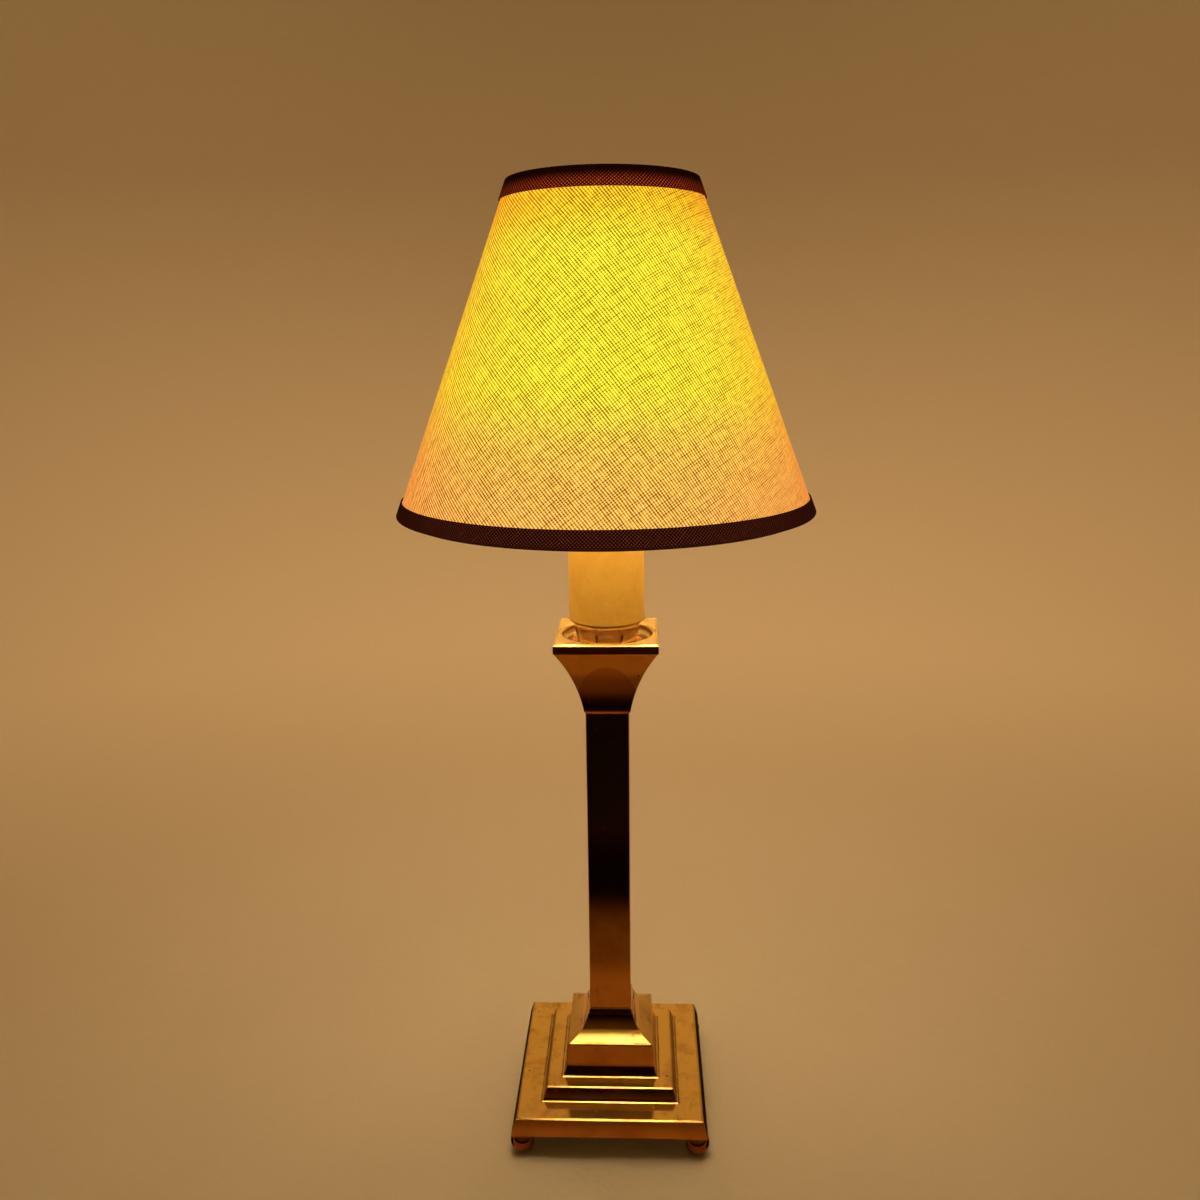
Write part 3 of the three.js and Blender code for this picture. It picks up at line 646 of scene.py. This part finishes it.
flare_foot = 159.364
slab_floor = 183.164
slab_top = 186.314
slab_half = 17.65
slab_facet_slope = 29
slab_facet_width = 0.9
slab_edge = 0.3
flare_radius = 62
flare_lip = 0.4
slab_ledge = 0.25
dish_floor = 182.314
dish_floor_radius = 12.48
dish_curve_radius = 4.8
dish_mouth = 16.9
dish_lip = 1.6
dish_stain = dish_mouth - dish_lip - 1.2
bore_foot = 150
capital_outline = [
    (0, column_top - spigot_length),
    (spigot_half, column_top - spigot_length),
    (spigot_half, column_top),
    (column_half, column_top),
    *arc_between((column_half + flare_lip, flare_foot), (slab_half - slab_ledge, slab_floor), flare_radius, 32),
    (slab_half, slab_floor),
    (slab_half, slab_top),
    (0, slab_top),
]
lip_height = slab_top - dish_lip
dish_curve = arc_between((dish_mouth - dish_lip, lip_height), (dish_floor_radius, dish_floor), dish_curve_radius, 14)
dish_outline = [
    (0, dish_floor),
    *reversed(dish_curve),
    *arc((dish_mouth, lip_height), dish_lip, 180, 90, 8)[1:],
    (dish_mouth, slab_top + 1),
    (0, slab_top + 1),
]
bore_outline = [(0, bore_foot), (tube_hole, bore_foot), (tube_hole, slab_top), (0, slab_top)]
capital = cut_away(turned(capital_outline, 4, corner), turned(dish_outline, 96), turned(bore_outline, 48))
roll_over(capital, slab_top, slab_half, slab_facet_slope, slab_facet_width)
ease(capital, slab_edge, leaning(slab_floor, slab_top, slab_half, slab_half), crisp=slab_floor)
capital_brass = brass("brass_capital", dust=0.6, hollow=dish_stain)
add_piece("flared_capital", capital, [capital_brass], "root", "polished_brass", "capital")


# Candle cup
# A cone turned from brass that stands in the dish, clamped by the nut inside it. Eight narrow slots sawn through its
# wall let air up past the lampholder, and its rim carries the sleeve.

cup_top = 190.914
cup_foot_radius = 10.083
cup_rim_radius = 12.2
cup_inside = 184.314
cup_wall = 1.4
cup_rim_edge = 0.12
slot_height = 3
slot_width = 0.9
slot_middle = cup_inside + 0.4 + slot_height / 2
slot_count = 8
slot_turn = 28
cup_outline = [
    (tube_hole, dish_floor),
    (cup_foot_radius, dish_floor),
    (cup_rim_radius - 0.14, cup_top - 0.55),
    (cup_rim_radius, cup_top - 0.35),
    (cup_rim_radius, cup_top - cup_rim_edge),
    (cup_rim_radius - cup_rim_edge, cup_top),
    (cup_rim_radius - cup_wall, cup_top),
    (cup_foot_radius + 0.49 - cup_wall, cup_inside),
    (tube_hole, cup_inside),
    (tube_hole, dish_floor),
]
slots = bmesh.new()
for i in range(slot_count):
    place = (Matrix.Rotation(math.radians(slot_turn + 360 * i / slot_count), 4, "Z")
             @ Matrix.Translation((0, -cup_foot_radius, slot_middle))
             @ Matrix.Diagonal((slot_width, 4 * cup_wall, slot_height, 1)))
    bmesh.ops.create_cube(slots, size=1, matrix=place)
cup = cut_away(turned(cup_outline, 96), slots)
cup_brass = brass("brass_cup", haze=0.4, sides=(0.6, 0.42, 0.18, 1), foot=dish_floor, buffed=(0.1, 0.1, 1))
add_piece("slotted_cup", cup, [cup_brass], "root", "polished_brass", "candle_cup")


# Candle sleeve
# A tube of ivory plastic that slips over the lampholder and rests on the cup's rim, so that the lamp looks like a
# candle. The bulb's light through its thin wall is painted on as a glow, most at the top, and a painted shadow darkens
# its foot where it meets the cup's rim.

def ivory_plastic():
    """Extruded ivory plastic with a satin face and faint draw lines, the bulb's light painted on as a glow that fades
    downwards, and a painted shadow along its foot.
    """
    ivory = Finish("ivory_sleeve")
    place = ivory.place()
    z = ivory.parts(place)[2]
    lines = ivory.noise(ivory.vectors("MULTIPLY", place, (1, 1, 0.03)), 0.5, 3)
    clouds = ivory.noise(place, 7, 4)
    grain = ivory.noise(place, 0.55, 2).fade(0.3, 0.7)
    # painted shadow along the sleeve's foot, where it meets the cup's rim
    foot_shadow = (z - cup_top).fade(0.75, 0.45)
    pale = ivory.mix(clouds.fade(0.35, 0.75), (0.68, 0.46, 0.11, 1), (0.6, 0.39, 0.08, 1))
    pale = ivory.mix(foot_shadow.most(grain * 0.18), pale, (0.16, 0.05, 0.012, 1))
    # painted glow: emission stands for the bulb's light through the wall, strongest at the top
    light = (z - cup_top).fade(-20, 62) * (0.78 + clouds * 0.1 + grain * 0.26) * (1 - foot_shadow)
    return ivory.surface({
        "Base Color": pale,
        "Roughness": 0.4 + lines * 0.12,
        "Emission Color": ivory.mix(light, (0.11, 0.036, 0.001, 1), (0.62, 0.21, 0.003, 1)),
        "Emission Strength": 0.75,
        "Normal": ivory.relief(lines * 0.006 + clouds * 0.03),
    })


sleeve_top = 250.914
sleeve_radius = 13
sleeve_bore = 11.8
foot_round = 0.5
rim_round = 0.3
sleeve_outline = [
    (sleeve_bore, cup_top),
    (sleeve_radius - foot_round, cup_top),
    *arc((sleeve_radius - foot_round, cup_top + foot_round), foot_round, 270, 360, 6)[1:],
    *arc((sleeve_radius - rim_round, sleeve_top - rim_round), rim_round, 0, 90, 5),
    *arc((sleeve_bore + rim_round, sleeve_top - rim_round), rim_round, 90, 180, 5),
    (sleeve_bore, cup_top),
]
add_piece("ivory_sleeve_tube", turned(sleeve_outline, 96), [ivory_plastic()], "sleeve", "sleeve", "candle_sleeve")


# Lampholder
# A moulded cream base and barrel screwed on the tie tube, with a glazed ceramic insert between them that holds the
# brass screw shell, the sprung centre contact and two terminal screws.

def cream_moulding():
    """Moulded thermoset, cream, with flow clouds and a slight sheen."""
    cream = Finish("cream_moulding")
    clouds = cream.noise(cream.place(), 4, 5)
    return cream.surface({
        "Base Color": cream.mix(clouds, (0.78, 0.72, 0.6, 1), (0.66, 0.58, 0.44, 1)),
        "Roughness": 0.32 + clouds * 0.2,
        "Normal": cream.relief(clouds * 0.03),
    })


def glazed_ceramic():
    """White porcelain under a clear glaze, with iron specks."""
    white = Finish("glazed_ceramic")
    place = white.place()
    specks = white.specks(place, 1.6, 0.1, 0.4)
    return white.surface({
        "Base Color": white.mix(specks, (0.82, 0.8, 0.75, 1), (0.2, 0.14, 0.08, 1)),
        "Roughness": 0.14 + white.noise(place, 3, 3) * 0.12,
        "Normal": white.relief(white.noise(place, 2.2, 2) * 0.04),
    })


dress(cream_moulding(), "holder_base", "holder_barrel")
dress(glazed_ceramic(), "socket_insert")
dress(hardware_brass, "screw_shell", "centre_contact", "terminal_screw_left", "terminal_screw_right")


# Bulb
# A ball of opal glass, blown thin, cemented in a brass screw cap with a black glass insulator and a solder tip.
# The filament glows on its leads inside, and the opal coat spreads its warm light over the whole ball.

def opal_glass():
    """Opal-coated glass, lit from inside: a little less towards the neck."""
    opal = Finish("opal_glass")
    place = opal.place()
    z = opal.parts(place)[2]
    mottle = opal.noise(place, 6, 3)
    light = z.fade(250, 275) * (0.92 + mottle * 0.16)
    return opal.surface({
        "Base Color": opal.mix(mottle, (0.9, 0.84, 0.74, 1), (0.84, 0.78, 0.68, 1)),
        "Roughness": 0.18 + mottle * 0.1,
        "Emission Color": opal.mix(light, (0.5, 0.3, 0.12, 1), (1.0, 0.74, 0.4, 1)),
        "Emission Strength": 20.0,
    })


def small_metal(name, dark, light):
    """Metal of a small part, mottled between two tones."""
    metal = Finish(name)
    mottle = metal.noise(metal.place(), 1.2, 4)
    return metal.surface({
        "Base Color": metal.mix(mottle, dark, light),
        "Metallic": 1.0,
        "Roughness": 0.3 + mottle * 0.15,
        "Normal": metal.relief(mottle * 0.03),
    })


def black_glass():
    """Black pressed glass with flow streaks."""
    black = Finish("black_glass")
    streaks = black.noise(black.place(), 0.8, 4)
    return black.surface({
        "Base Color": black.mix(streaks, (0.006, 0.005, 0.007, 1), (0.03, 0.026, 0.03, 1)),
        "Roughness": 0.12 + streaks * 0.15,
    })


bulb_centre = 283.0
bulb_radius = 22.5
neck_radius = 7.8
neck_foot = 252.014
neck_fillet = 8
glass_foot = 249.614
glass_foot_radius = 6.7
glass_wall = 0.9
neck_drop = math.sqrt((bulb_radius + neck_fillet) ** 2 - (neck_radius + neck_fillet) ** 2)
neck_touch = math.degrees(math.atan2(neck_drop, neck_radius + neck_fillet))


def globe(inset):
    """The glass from neck to crown, moved in by the inset."""
    fillet = neck_fillet + inset
    return [
        (neck_radius - inset, neck_foot + inset),
        *arc((neck_radius + neck_fillet, bulb_centre - neck_drop), fillet, 180, 180 - neck_touch, 10),
        *arc((0, bulb_centre), bulb_radius - inset, -neck_touch, 90, 30)[1:],
    ]


glass_outline = [
    *reversed(globe(glass_wall)),
    (glass_foot_radius - glass_wall, glass_foot),
    (glass_foot_radius, glass_foot),
    (glass_foot_radius, neck_foot),
    *globe(0),
]
globe_glass = opal_glass()
add_piece("opal_globe", turned(glass_outline, 72), [globe_glass], "bulb", "opal_glass", "bulb_glass")
dress(globe_glass, "bulb_stem")
dress(hardware_brass, "bulb_cap")
dress(black_glass(), "cap_insulator")
dress(small_metal("solder_tip", (0.4, 0.39, 0.38, 1), (0.6, 0.59, 0.57, 1)), "cap_tip")
dress(small_metal("tungsten_wire", (0.16, 0.15, 0.14, 1), (0.3, 0.28, 0.26, 1)), "filament")


# Bulb clip
# Two rings of spring wire that hug the ball of the bulb, joined on each side by a bent steel lug. A headed pin
# riveted into each lug carries an eye of the shade's frame.

def wire_ring(radius, thickness, sides):
    """A closed ring of round wire that lies flat about the origin."""
    return turned(arc((radius, 0), thickness / 2, 10, 370, 18), sides)


def rod(form, start, end, radius, sides=20):
    """Adds a round bar between two points."""
    way = Vector(end) - Vector(start)
    place = Matrix.Translation((Vector(start) + Vector(end)) / 2) @ way.to_track_quat("Z", "Y").to_matrix().to_4x4()
    bmesh.ops.create_cone(form, cap_ends=True, segments=sides, radius1=radius, radius2=radius,
                          depth=way.length, matrix=place)


clip_offset = 12.0
clip_wire = 1.8
clip_gap = 0.3
clip_radius = math.sqrt((bulb_radius + clip_gap + clip_wire / 2) ** 2 - clip_offset ** 2)
for end, y in (("front", -clip_offset), ("rear", clip_offset)):
    hoop = wire_ring(clip_radius, clip_wire, 72)
    bmesh.ops.rotate(hoop, verts=hoop.verts, cent=(0, 0, 0), matrix=Matrix.Rotation(math.pi / 2, 3, "X"))
    bmesh.ops.translate(hoop, verts=hoop.verts, vec=(0, y, bulb_centre))
    add_piece(f"spring_ring_{end}", hoop, [steel], "clip", "zinc_steel", f"clip_ring_{end}")

lug_face = 22.8
lug_thickness = 1.0
lug_length = 27.6
lug_height = 5
lug_edge = 0.25
pin_radius = 1.0
head_face = 26.4
head_radius = 2.2
head_thickness = 1
for side, way in (("left", -1), ("right", 1)):
    lug = bmesh.new()
    middle = way * (lug_face + lug_thickness / 2)
    strip = Matrix.Translation((middle, 0, bulb_centre)) @ Matrix.Diagonal((lug_thickness, lug_length, lug_height, 1))
    bmesh.ops.create_cube(lug, size=1, matrix=strip)
    bmesh.ops.bevel(lug, geom=lug.edges[:], offset=lug_edge, offset_type="OFFSET", affect="EDGES",
                    segments=2, profile=0.5, material=-1, clamp_overlap=True)
    rod(lug, (middle, 0, bulb_centre), (way * (head_face + 0.4), 0, bulb_centre), pin_radius)
    rod(lug, (way * head_face, 0, bulb_centre), (way * (head_face + head_thickness), 0, bulb_centre), head_radius, 28)
    add_piece(f"pivot_lug_{side}", lug, [steel], "clip", "zinc_steel", f"clip_lug_{side}")


# Shade frame
# Two rings of plated steel wire stiffen the edges of the cover, and a straight strut on each side hangs the top ring
# from an eye on the clip's pin, so that the shade tilts.

shade_foot = 229.3
shade_height = 102.6
shade_foot_radius = 68.8
shade_top_radius = 29.9
shade_lean = (shade_foot_radius - shade_top_radius) / shade_height
slant_scale = math.hypot(1, shade_lean)
slant = shade_height * slant_scale


def on_shade(along, out):
    """A point of the shade's section: up the slant from the lower edge, and out from the cover's face."""
    rise = along / slant_scale
    push = out / slant_scale
    return shade_foot_radius - shade_lean * rise + push, shade_foot + rise + shade_lean * push


cover_sheet = 0.9
ring_wire = 2.4
ring_inset = 1.9
ring_gap = 0.3
ring_out = -(cover_sheet + ring_gap + ring_wire / 2)
for name, node, along in (("upper_ring_wire", "top_ring", slant - ring_inset),
                          ("lower_ring_wire", "bottom_ring", ring_inset)):
    radius, z = on_shade(along, ring_out)
    hoop = wire_ring(radius, ring_wire, 128)
    bmesh.ops.translate(hoop, verts=hoop.verts, vec=(0, 0, z))
    add_piece(name, hoop, [steel], "shade", "zinc_steel", node)

eye_face = 24.1
eye_width = 2
eye_hole = 1.3
eye_radius = 2.6
strut_radius = 1.0
eye_outline = [(eye_hole, 0), (eye_radius, 0), (eye_radius, eye_width), (eye_hole, eye_width), (eye_hole, 0)]
ring_radius, ring_height = on_shade(slant - ring_inset, ring_out)
for side, way in (("left", -1), ("right", 1)):
    strut = turned(eye_outline, 32)
    bmesh.ops.rotate(strut, verts=strut.verts, cent=(0, 0, 0), matrix=Matrix.Rotation(way * math.pi / 2, 3, "Y"))
    bmesh.ops.translate(strut, verts=strut.verts, vec=(way * eye_face, 0, bulb_centre))
    strut_foot = (way * (eye_face + eye_width / 2), 0, bulb_centre + 2.1)
    strut_head = (way * ring_radius, 0, ring_height - ring_wire / 2 - ring_gap)
    rod(strut, strut_foot, strut_head, strut_radius)
    add_piece(f"strut_wire_{side}", strut, [steel], "shade", "zinc_steel", f"strut_{side}")


# Shade cover
# Natural linen glued on a white lining film, cut as one flat fan and wrapped round the two rings with a lapped seam
# at the back. The cloth lies on the bias, so its threads cross the front at a slant. The lit bulb's light through it
# is painted on the linen as a glow.

apex = shade_foot_radius * slant_scale / shade_lean
fan = shade_lean / slant_scale


def lay_flat(form, name, chart):
    """Gives a form a UV map in millimetres: chart takes the turn from the front and the way up the slant."""
    layer = form.loops.layers.uv.new(name)
    for face in form.faces:
        centre = face.calc_center_median()
        middle = math.atan2(centre.x, -centre.y)
        for loop in face.loops:
            point = loop.vert.co
            turn = math.atan2(point.x, -point.y) - middle
            turn = middle + (turn + math.pi) % (2 * math.pi) - math.pi
            loop[layer].uv = chart(turn, (point.z - shade_foot) * slant_scale)


def fan_cut(turn, along):
    """Where a point of the cover lies on the flat fan."""
    radius = apex - along
    return radius * math.sin(fan * turn), radius * math.cos(fan * turn)


def threads(cloth, flat, direction, pitch, run):
    """One set of threads that lie along a direction: their round crowns, and how heavy each is along its run."""
    turn = math.radians(direction)
    along = cloth.vectors("DOT_PRODUCT", flat, (math.cos(turn), math.sin(turn), 0), "Value")
    across = cloth.vectors("DOT_PRODUCT", flat, (-math.sin(turn), math.cos(turn), 0), "Value")
    across = across / pitch + cloth.noise(flat, 9, 2) * 0.4
    crown = (0.5 - 0.5 * across.maths("COSINE", across * (2 * math.pi))).fade(0.1, 0.9)
    run_place = cloth.node("ShaderNodeCombineXYZ", None, {0: across * 0.8, 1: along / run, 2: direction})
    weight = cloth.noise(run_place, 1, 3, 0.6)
    return crown, weight


def lit_linen():
    """Linen with the bulb behind it. The bulb's light through it is painted on as a glow, brightest nearest the bulb,
    coming between the threads, least through the heavy ones and the doubled seam at the back. The cloth deepens to
    amber where it is seen at a slant, as through a thicker layer."""
    cloth = Finish("lit_linen")
    place = cloth.place()
    x, y, z = cloth.parts(place)
    flat = cloth.node("ShaderNodeUVMap", {"uv_map": "fan_cut"})
    warp, warp_weight = threads(cloth, flat, 52, 0.87, 16)
    weft, weft_weight = threads(cloth, flat, -36, 0.74, 12)
    warp_shadow = warp * (0.7 + warp_weight.fade(0.35, 0.7) * 0.3)
    weft_shadow = weft * (0.25 + weft_weight.fade(0.4, 0.7) * 0.75)
    nubs = cloth.noise(flat, 1.7, 2).fade(0.38, 0.68)
    shadow = warp_shadow * 0.8 + weft_shadow * 0.56 + nubs * 0.16
    # painted glow: emission set by nearness to the bulb stands for its light through the cloth
    bulb_gap = cloth.vectors("DISTANCE", place, (0, 0, bulb_centre), "Value")
    nearness = (45.25 / bulb_gap) ** 3 * (1 - z.fade(295, 325) * 0.55)
    near = nearness.fade(0.15, 0.65)
    far_glow = cloth.mix(z.fade(250, 320), (0.74, 0.52, 0.1, 1), (0.78, 0.6, 0.018, 1))
    glow = cloth.mix(near, far_glow, (0.76, 0.87, 0.043, 1))
    held_back = cloth.mix(near, (0.1, 0.05, 0.006, 1), (0.14, 0.1, 0.012, 1))
    heavy = cloth.mix(1, glow, held_back, "MULTIPLY")
    seam = (x.size().fade(4.2, 3.9) * y.fade(0, 1)) * 0.3
    lit = cloth.mix((shadow + seam).least(1), glow, heavy)
    weave = warp.most(weft)
    return cloth.surface({
        "Base Color": cloth.mix(warp_weight, (0.62, 0.47, 0.28, 1), (0.46, 0.33, 0.18, 1)),
        "Roughness": 0.82 + weft_weight * 0.15,
        "Coat Weight": 1.0,
        "Coat IOR": 1.1,
        "Coat Roughness": 1.0,
        "Coat Tint": (0.965, 0.735, 0.73, 1),
        "Emission Color": lit,
        "Emission Strength": 2.15,
        "Normal": cloth.relief(weave * 0.16 + warp_weight * 0.1),
    })


def lining_film():
    """White plastic film inside the shade, yellowed a little by heat over the bulb."""
    film = Finish("lining_film")
    place = film.place()
    z = film.parts(place)[2]
    mottle = film.noise(place, 8, 4)
    return film.surface({
        "Base Color": film.mix(z.fade(270, 335) * mottle, (0.8, 0.77, 0.7, 1), (0.74, 0.66, 0.52, 1)),
        "Roughness": 0.45 + mottle * 0.2,
        "Normal": film.relief(mottle * 0.05),
    })


cover_outline = [
    on_shade(0, 0),
    on_shade(slant, 0),
    on_shade(slant, -cover_sheet),
    on_shade(0, -cover_sheet),
    on_shade(0, 0),
]
cover = turned(cover_outline, 160)
lay_flat(cover, "fan_cut", fan_cut)
for face in cover.faces:
    centre = face.calc_center_median()
    if face.normal.dot(Vector((centre.x, centre.y, 0))) < 0:
        face.material_index = 1
linen = add_piece("linen_cover", cover, [lit_linen(), lining_film()], "shade", "linen", "shade_cover")


# Edge tapes
# Brown cotton tape, folded over both edges of the cover and glued, so that it hides the raw cloth and the wire rings.
# The bulb's light through its fine diagonal weave is painted on as a rusty glow, strongest on the upper tape.

def brown_tape():
    """Dark brown tape: a diagonal twill whose crowns are painted lighter as painted highlight, with a little fluff,
    and the bulb's light painted on as a glow from the crowns.
    """
    tape = Finish("brown_tape")
    flat = tape.node("ShaderNodeUVMap", {"uv_map": "band"})
    warp, warp_weight = threads(tape, flat, 45, 0.75, 6)
    weft, weft_weight = threads(tape, flat, -45, 0.75, 6)
    crowns = (warp * weft).most(warp * warp_weight.fade(0.5, 0.8)).most(weft * weft_weight.fade(0.55, 0.8))
    z = tape.parts(tape.place())[2]
    # painted glow: emission stands for the bulb's light through the tape, most on the upper tape
    through = tape.mix(z.fade(331, 327.6), (0.05, 0.006, 0.001, 1), (1.25, 0.2, 0.045, 1))
    through = tape.mix(z.fade(320, 240), through, (0.28, 0.07, 0.03, 1))
    colour = tape.mix(crowns, (0.012, 0.0035, 0.002, 1), (0.1, 0.028, 0.014, 1))
    return tape.surface({
        "Base Color": colour,
        "Roughness": 0.8 + weft_weight * 0.18,
        "Coat Weight": 1.0,
        "Coat IOR": 1.1,
        "Coat Roughness": 1.0,
        "Coat Tint": (0.5, 0.4, 0.4, 1),
        "Emission Color": tape.mix(crowns, (0.004, 0.0008, 0.0003, 1), through),
        "Emission Strength": 1.0,
        "Normal": tape.relief(warp.most(weft) * 0.2),
    })


tape_gap = 0.2
tape_thickness = 0.4
fold_out = ring_out - ring_wire / 2 - ring_gap


def edge_tape(name, node, edge, way, width, finish):
    """Tape folded over an edge: way is 1 where the cover lies above the edge and -1 where it lies below."""
    outside = tape_gap + tape_thickness
    inside = fold_out - tape_thickness
    fold = edge - way * 0.1
    crease = fold - way * 0.3
    round_off = 0.18
    inner_end = edge + way * (ring_inset + ring_gap)
    outer_end = edge + way * width
    outline = [
        on_shade(outer_end, tape_gap),
        on_shade(outer_end, outside - round_off),
        on_shade(outer_end - way * round_off, outside),
        on_shade(fold + way * 0.1, outside),
        on_shade(fold - way * 0.12, outside - 0.06),
        on_shade(fold - way * 0.24, outside - 0.2),
        on_shade(crease, tape_gap),
        on_shade(crease, fold_out),
        on_shade(fold - way * 0.2, inside + 0.12),
        on_shade(fold, inside),
        on_shade(inner_end, inside),
        on_shade(inner_end, fold_out),
        on_shade(fold, fold_out),
        on_shade(fold, tape_gap),
        on_shade(outer_end, tape_gap),
    ]
    middle = on_shade(edge, 0)[0]
    band = turned(outline, 160)
    lay_flat(band, "band", lambda turn, along: (turn * middle, along))
    return add_piece(name, band, [finish], "shade", "tape", node)


top_tape_width = 6.1
bottom_tape_width = 4.9
tape_cloth = brown_tape()
top_tape = edge_tape("top_tape", "top_trim", slant, -1, top_tape_width, tape_cloth)
bottom_tape = edge_tape("bottom_tape", "bottom_trim", 0, 1, bottom_tape_width, tape_cloth)


# Studio
# A bowl of pale paper lies under the lamp and sweeps up all round it, under soft warm light. Cards in front of the
# lamp, strips beside it and a screen round it, all out of the camera's sight, give the brass something to mirror: they
# are painted dark as painted shade, with paler bands painted where light would fall on a floor or a wall.

def paper_finish(name, pale, shade):
    """Matt paper with a fine tooth."""
    paper = Finish(name)
    tooth = paper.noise(paper.place(), 3, 5)
    return paper.surface({
        "Base Color": paper.mix(tooth, pale, shade),
        "Roughness": 0.85 + tooth * 0.1,
        "Specular IOR Level": 0.05,
        "Normal": paper.relief(tooth * 0.15),
    })


def set_out(name, form, finish):
    """Puts up a sheet of the studio from a form in metres."""
    mesh = bpy.data.meshes.new(name)
    form.to_mesh(mesh)
    form.free()
    mesh.shade_smooth()
    mesh.materials.append(finish.material)
    sheet = bpy.data.objects.new(name, mesh)
    bpy.context.scene.collection.objects.link(sheet)
    return sheet


def mirrored_only(name, form, finish):
    """Sets out a sheet that only reflections show."""
    sheet = set_out(name, form, finish)
    sheet.visible_camera = False
    sheet.visible_diffuse = False
    sheet.visible_shadow = False


def card(name, x, near, far, half_width, finish):
    """A flat card on the floor, from its near edge to its far edge along y."""
    form = bmesh.new()
    place = Matrix.Translation((x, (near + far) / 2, 0.002)) @ Matrix.Diagonal((half_width, (near - far) / 2, 1, 1))
    bmesh.ops.create_grid(form, x_segments=1, y_segments=1, size=1, matrix=place)
    mirrored_only(name, form, finish)


def card_finish(name, dark, pale, share):
    """A card painted dark as painted shade and pale in part as painted light: share takes a place's y and z, and gives
    how pale it is there.
    """
    paper = Finish(name)
    y, z = paper.parts(paper.place())[1:]
    return paper.surface({
        "Base Color": paper.mix(share(y, z), dark, pale),
        "Roughness": 0.9 + y.fade(-800, 800) * 0.05,
        "Specular IOR Level": 0.0,
    })


bowl_middle = -0.3
bowl = turned([(0, 0), *arc((0.9, 0.5), 0.5, 270, 360, 24), (1.4, 2.2)], 128)
bmesh.ops.translate(bowl, vec=(0, bowl_middle, 0), verts=bowl.verts)
bmesh.ops.reverse_faces(bowl, faces=bowl.faces)
set_out("paper", bowl, paper_finish("pale_paper", (0.82, 0.76, 0.67, 1), (0.78, 0.72, 0.63, 1)))
black = (0.007, 0.0035, 0.0014, 1)
soft_black = (0.0075, 0.0037, 0.0015, 1)
# painted light: the far floor card pales with distance from the lamp
card("dark_card", 0, -0.24, -0.8, 0.6, card_finish(
    "dark_card", (0.03, 0.03, 0.008, 1), (0.18, 0.09, 0.05, 1), lambda y, z: y.fade(-380, -680)))
# painted pools of light in bands on a black card, for the brass in front to mirror
card("brown_card", 0, -0.0365, -0.24, 0.3, card_finish(
    "brown_card", black, (0.68, 0.42, 0.21, 1),
    lambda y, z: y.fade(-158, -118) * 0.5 + y.fade(-100, -78) * 0.45 + y.fade(-190, -240) * 0.045))
# painted shade: dark strips for the tray's flanks to mirror
for side, x in (("left", -0.058), ("right", 0.058)):
    name = f"dark_strip_{side}"
    card(name, x, 0.075, -0.035, 0.0215, card_finish(name, black, soft_black, lambda y, z: y.fade(-40, 80)))

screen_radius = 0.8
screen_height = 1.1
screen_gap = 80
screen = bmesh.new()
edge_dots = [screen.verts.new((0, screen_radius, z)) for z in (0.003, screen_height)]
bmesh.ops.rotate(screen, verts=edge_dots, cent=(0, 0, 0), matrix=Matrix.Rotation(math.radians(screen_gap / 2), 3, "Z"))
bmesh.ops.spin(screen, geom=[*edge_dots, screen.edges.new(edge_dots)], cent=(0, 0, 0), axis=(0, 0, 1),
               angle=math.radians(360 - screen_gap), steps=70)
# painted light: the screen pales towards the back and upwards, as a lit wall would
mirrored_only("dark_screen", screen, card_finish(
    "dark_screen", black, (0.45, 0.28, 0.14, 1), lambda y, z: y.fade(-350, 500) + z.fade(20, 380) * 0.5))


def soft_light(name, place, aim, size, power, colour):
    """A broad light, aimed at a point."""
    lamp = bpy.data.lights.new(name, "AREA")
    lamp.shape = "RECTANGLE"
    lamp.size, lamp.size_y = size
    lamp.energy = power
    lamp.color = colour
    lamp.spread = math.radians(95)
    light = bpy.data.objects.new(name, lamp)
    light.location = place
    light.rotation_euler = (Vector(aim) - Vector(place)).to_track_quat("-Z", "Y").to_euler()
    light.visible_camera = False
    bpy.context.scene.collection.objects.link(light)


soft_light("soft_light", (0, 0.6, 1.15), (0, 0.65, 0), (1.8, 0.7), 3.4, (1.0, 0.59, 0.26))
soft_light("back_light", (0, 0.95, 0.85), (0, 0, 0.1), (1.4, 0.5), 0.17, (1.0, 0.56, 0.15))
scene = bpy.context.scene
room = Finish("dim_room", bpy.data.worlds.new("dim_room"))
rise = room.parts(room.node("ShaderNodeTexCoord"))[2]
ceiling = room.mix(rise.fade(0.1, 0.95), (0.006, 0.003, 0.001, 1), (0.14, 0.085, 0.018, 1))
glow = room.node("ShaderNodeBackground", None, {"Color": ceiling})
room.node("ShaderNodeOutputWorld", None, {"Surface": glow})
scene.world = room.material
scene.view_settings.view_transform = "Standard"
scene.view_settings.look = "None"

camera_place = (0.01098, -0.33939, 0.2834)
camera_turn = math.radians(2.248)
camera_dip = math.radians(14.22)
camera_roll = math.radians(-0.708)
lens = bpy.data.cameras.new("camera")
lens.lens = 30.52
lens.sensor_width = 36
lens.clip_start = 0.01
camera = bpy.data.objects.new("camera", lens)
camera.matrix_world = (Matrix.Translation(camera_place) @ Matrix.Rotation(camera_turn, 4, "Z")
                       @ Matrix.Rotation(math.pi / 2 - camera_dip, 4, "X") @ Matrix.Rotation(camera_roll, 4, "Z"))
scene.collection.objects.link(camera)
scene.camera = camera
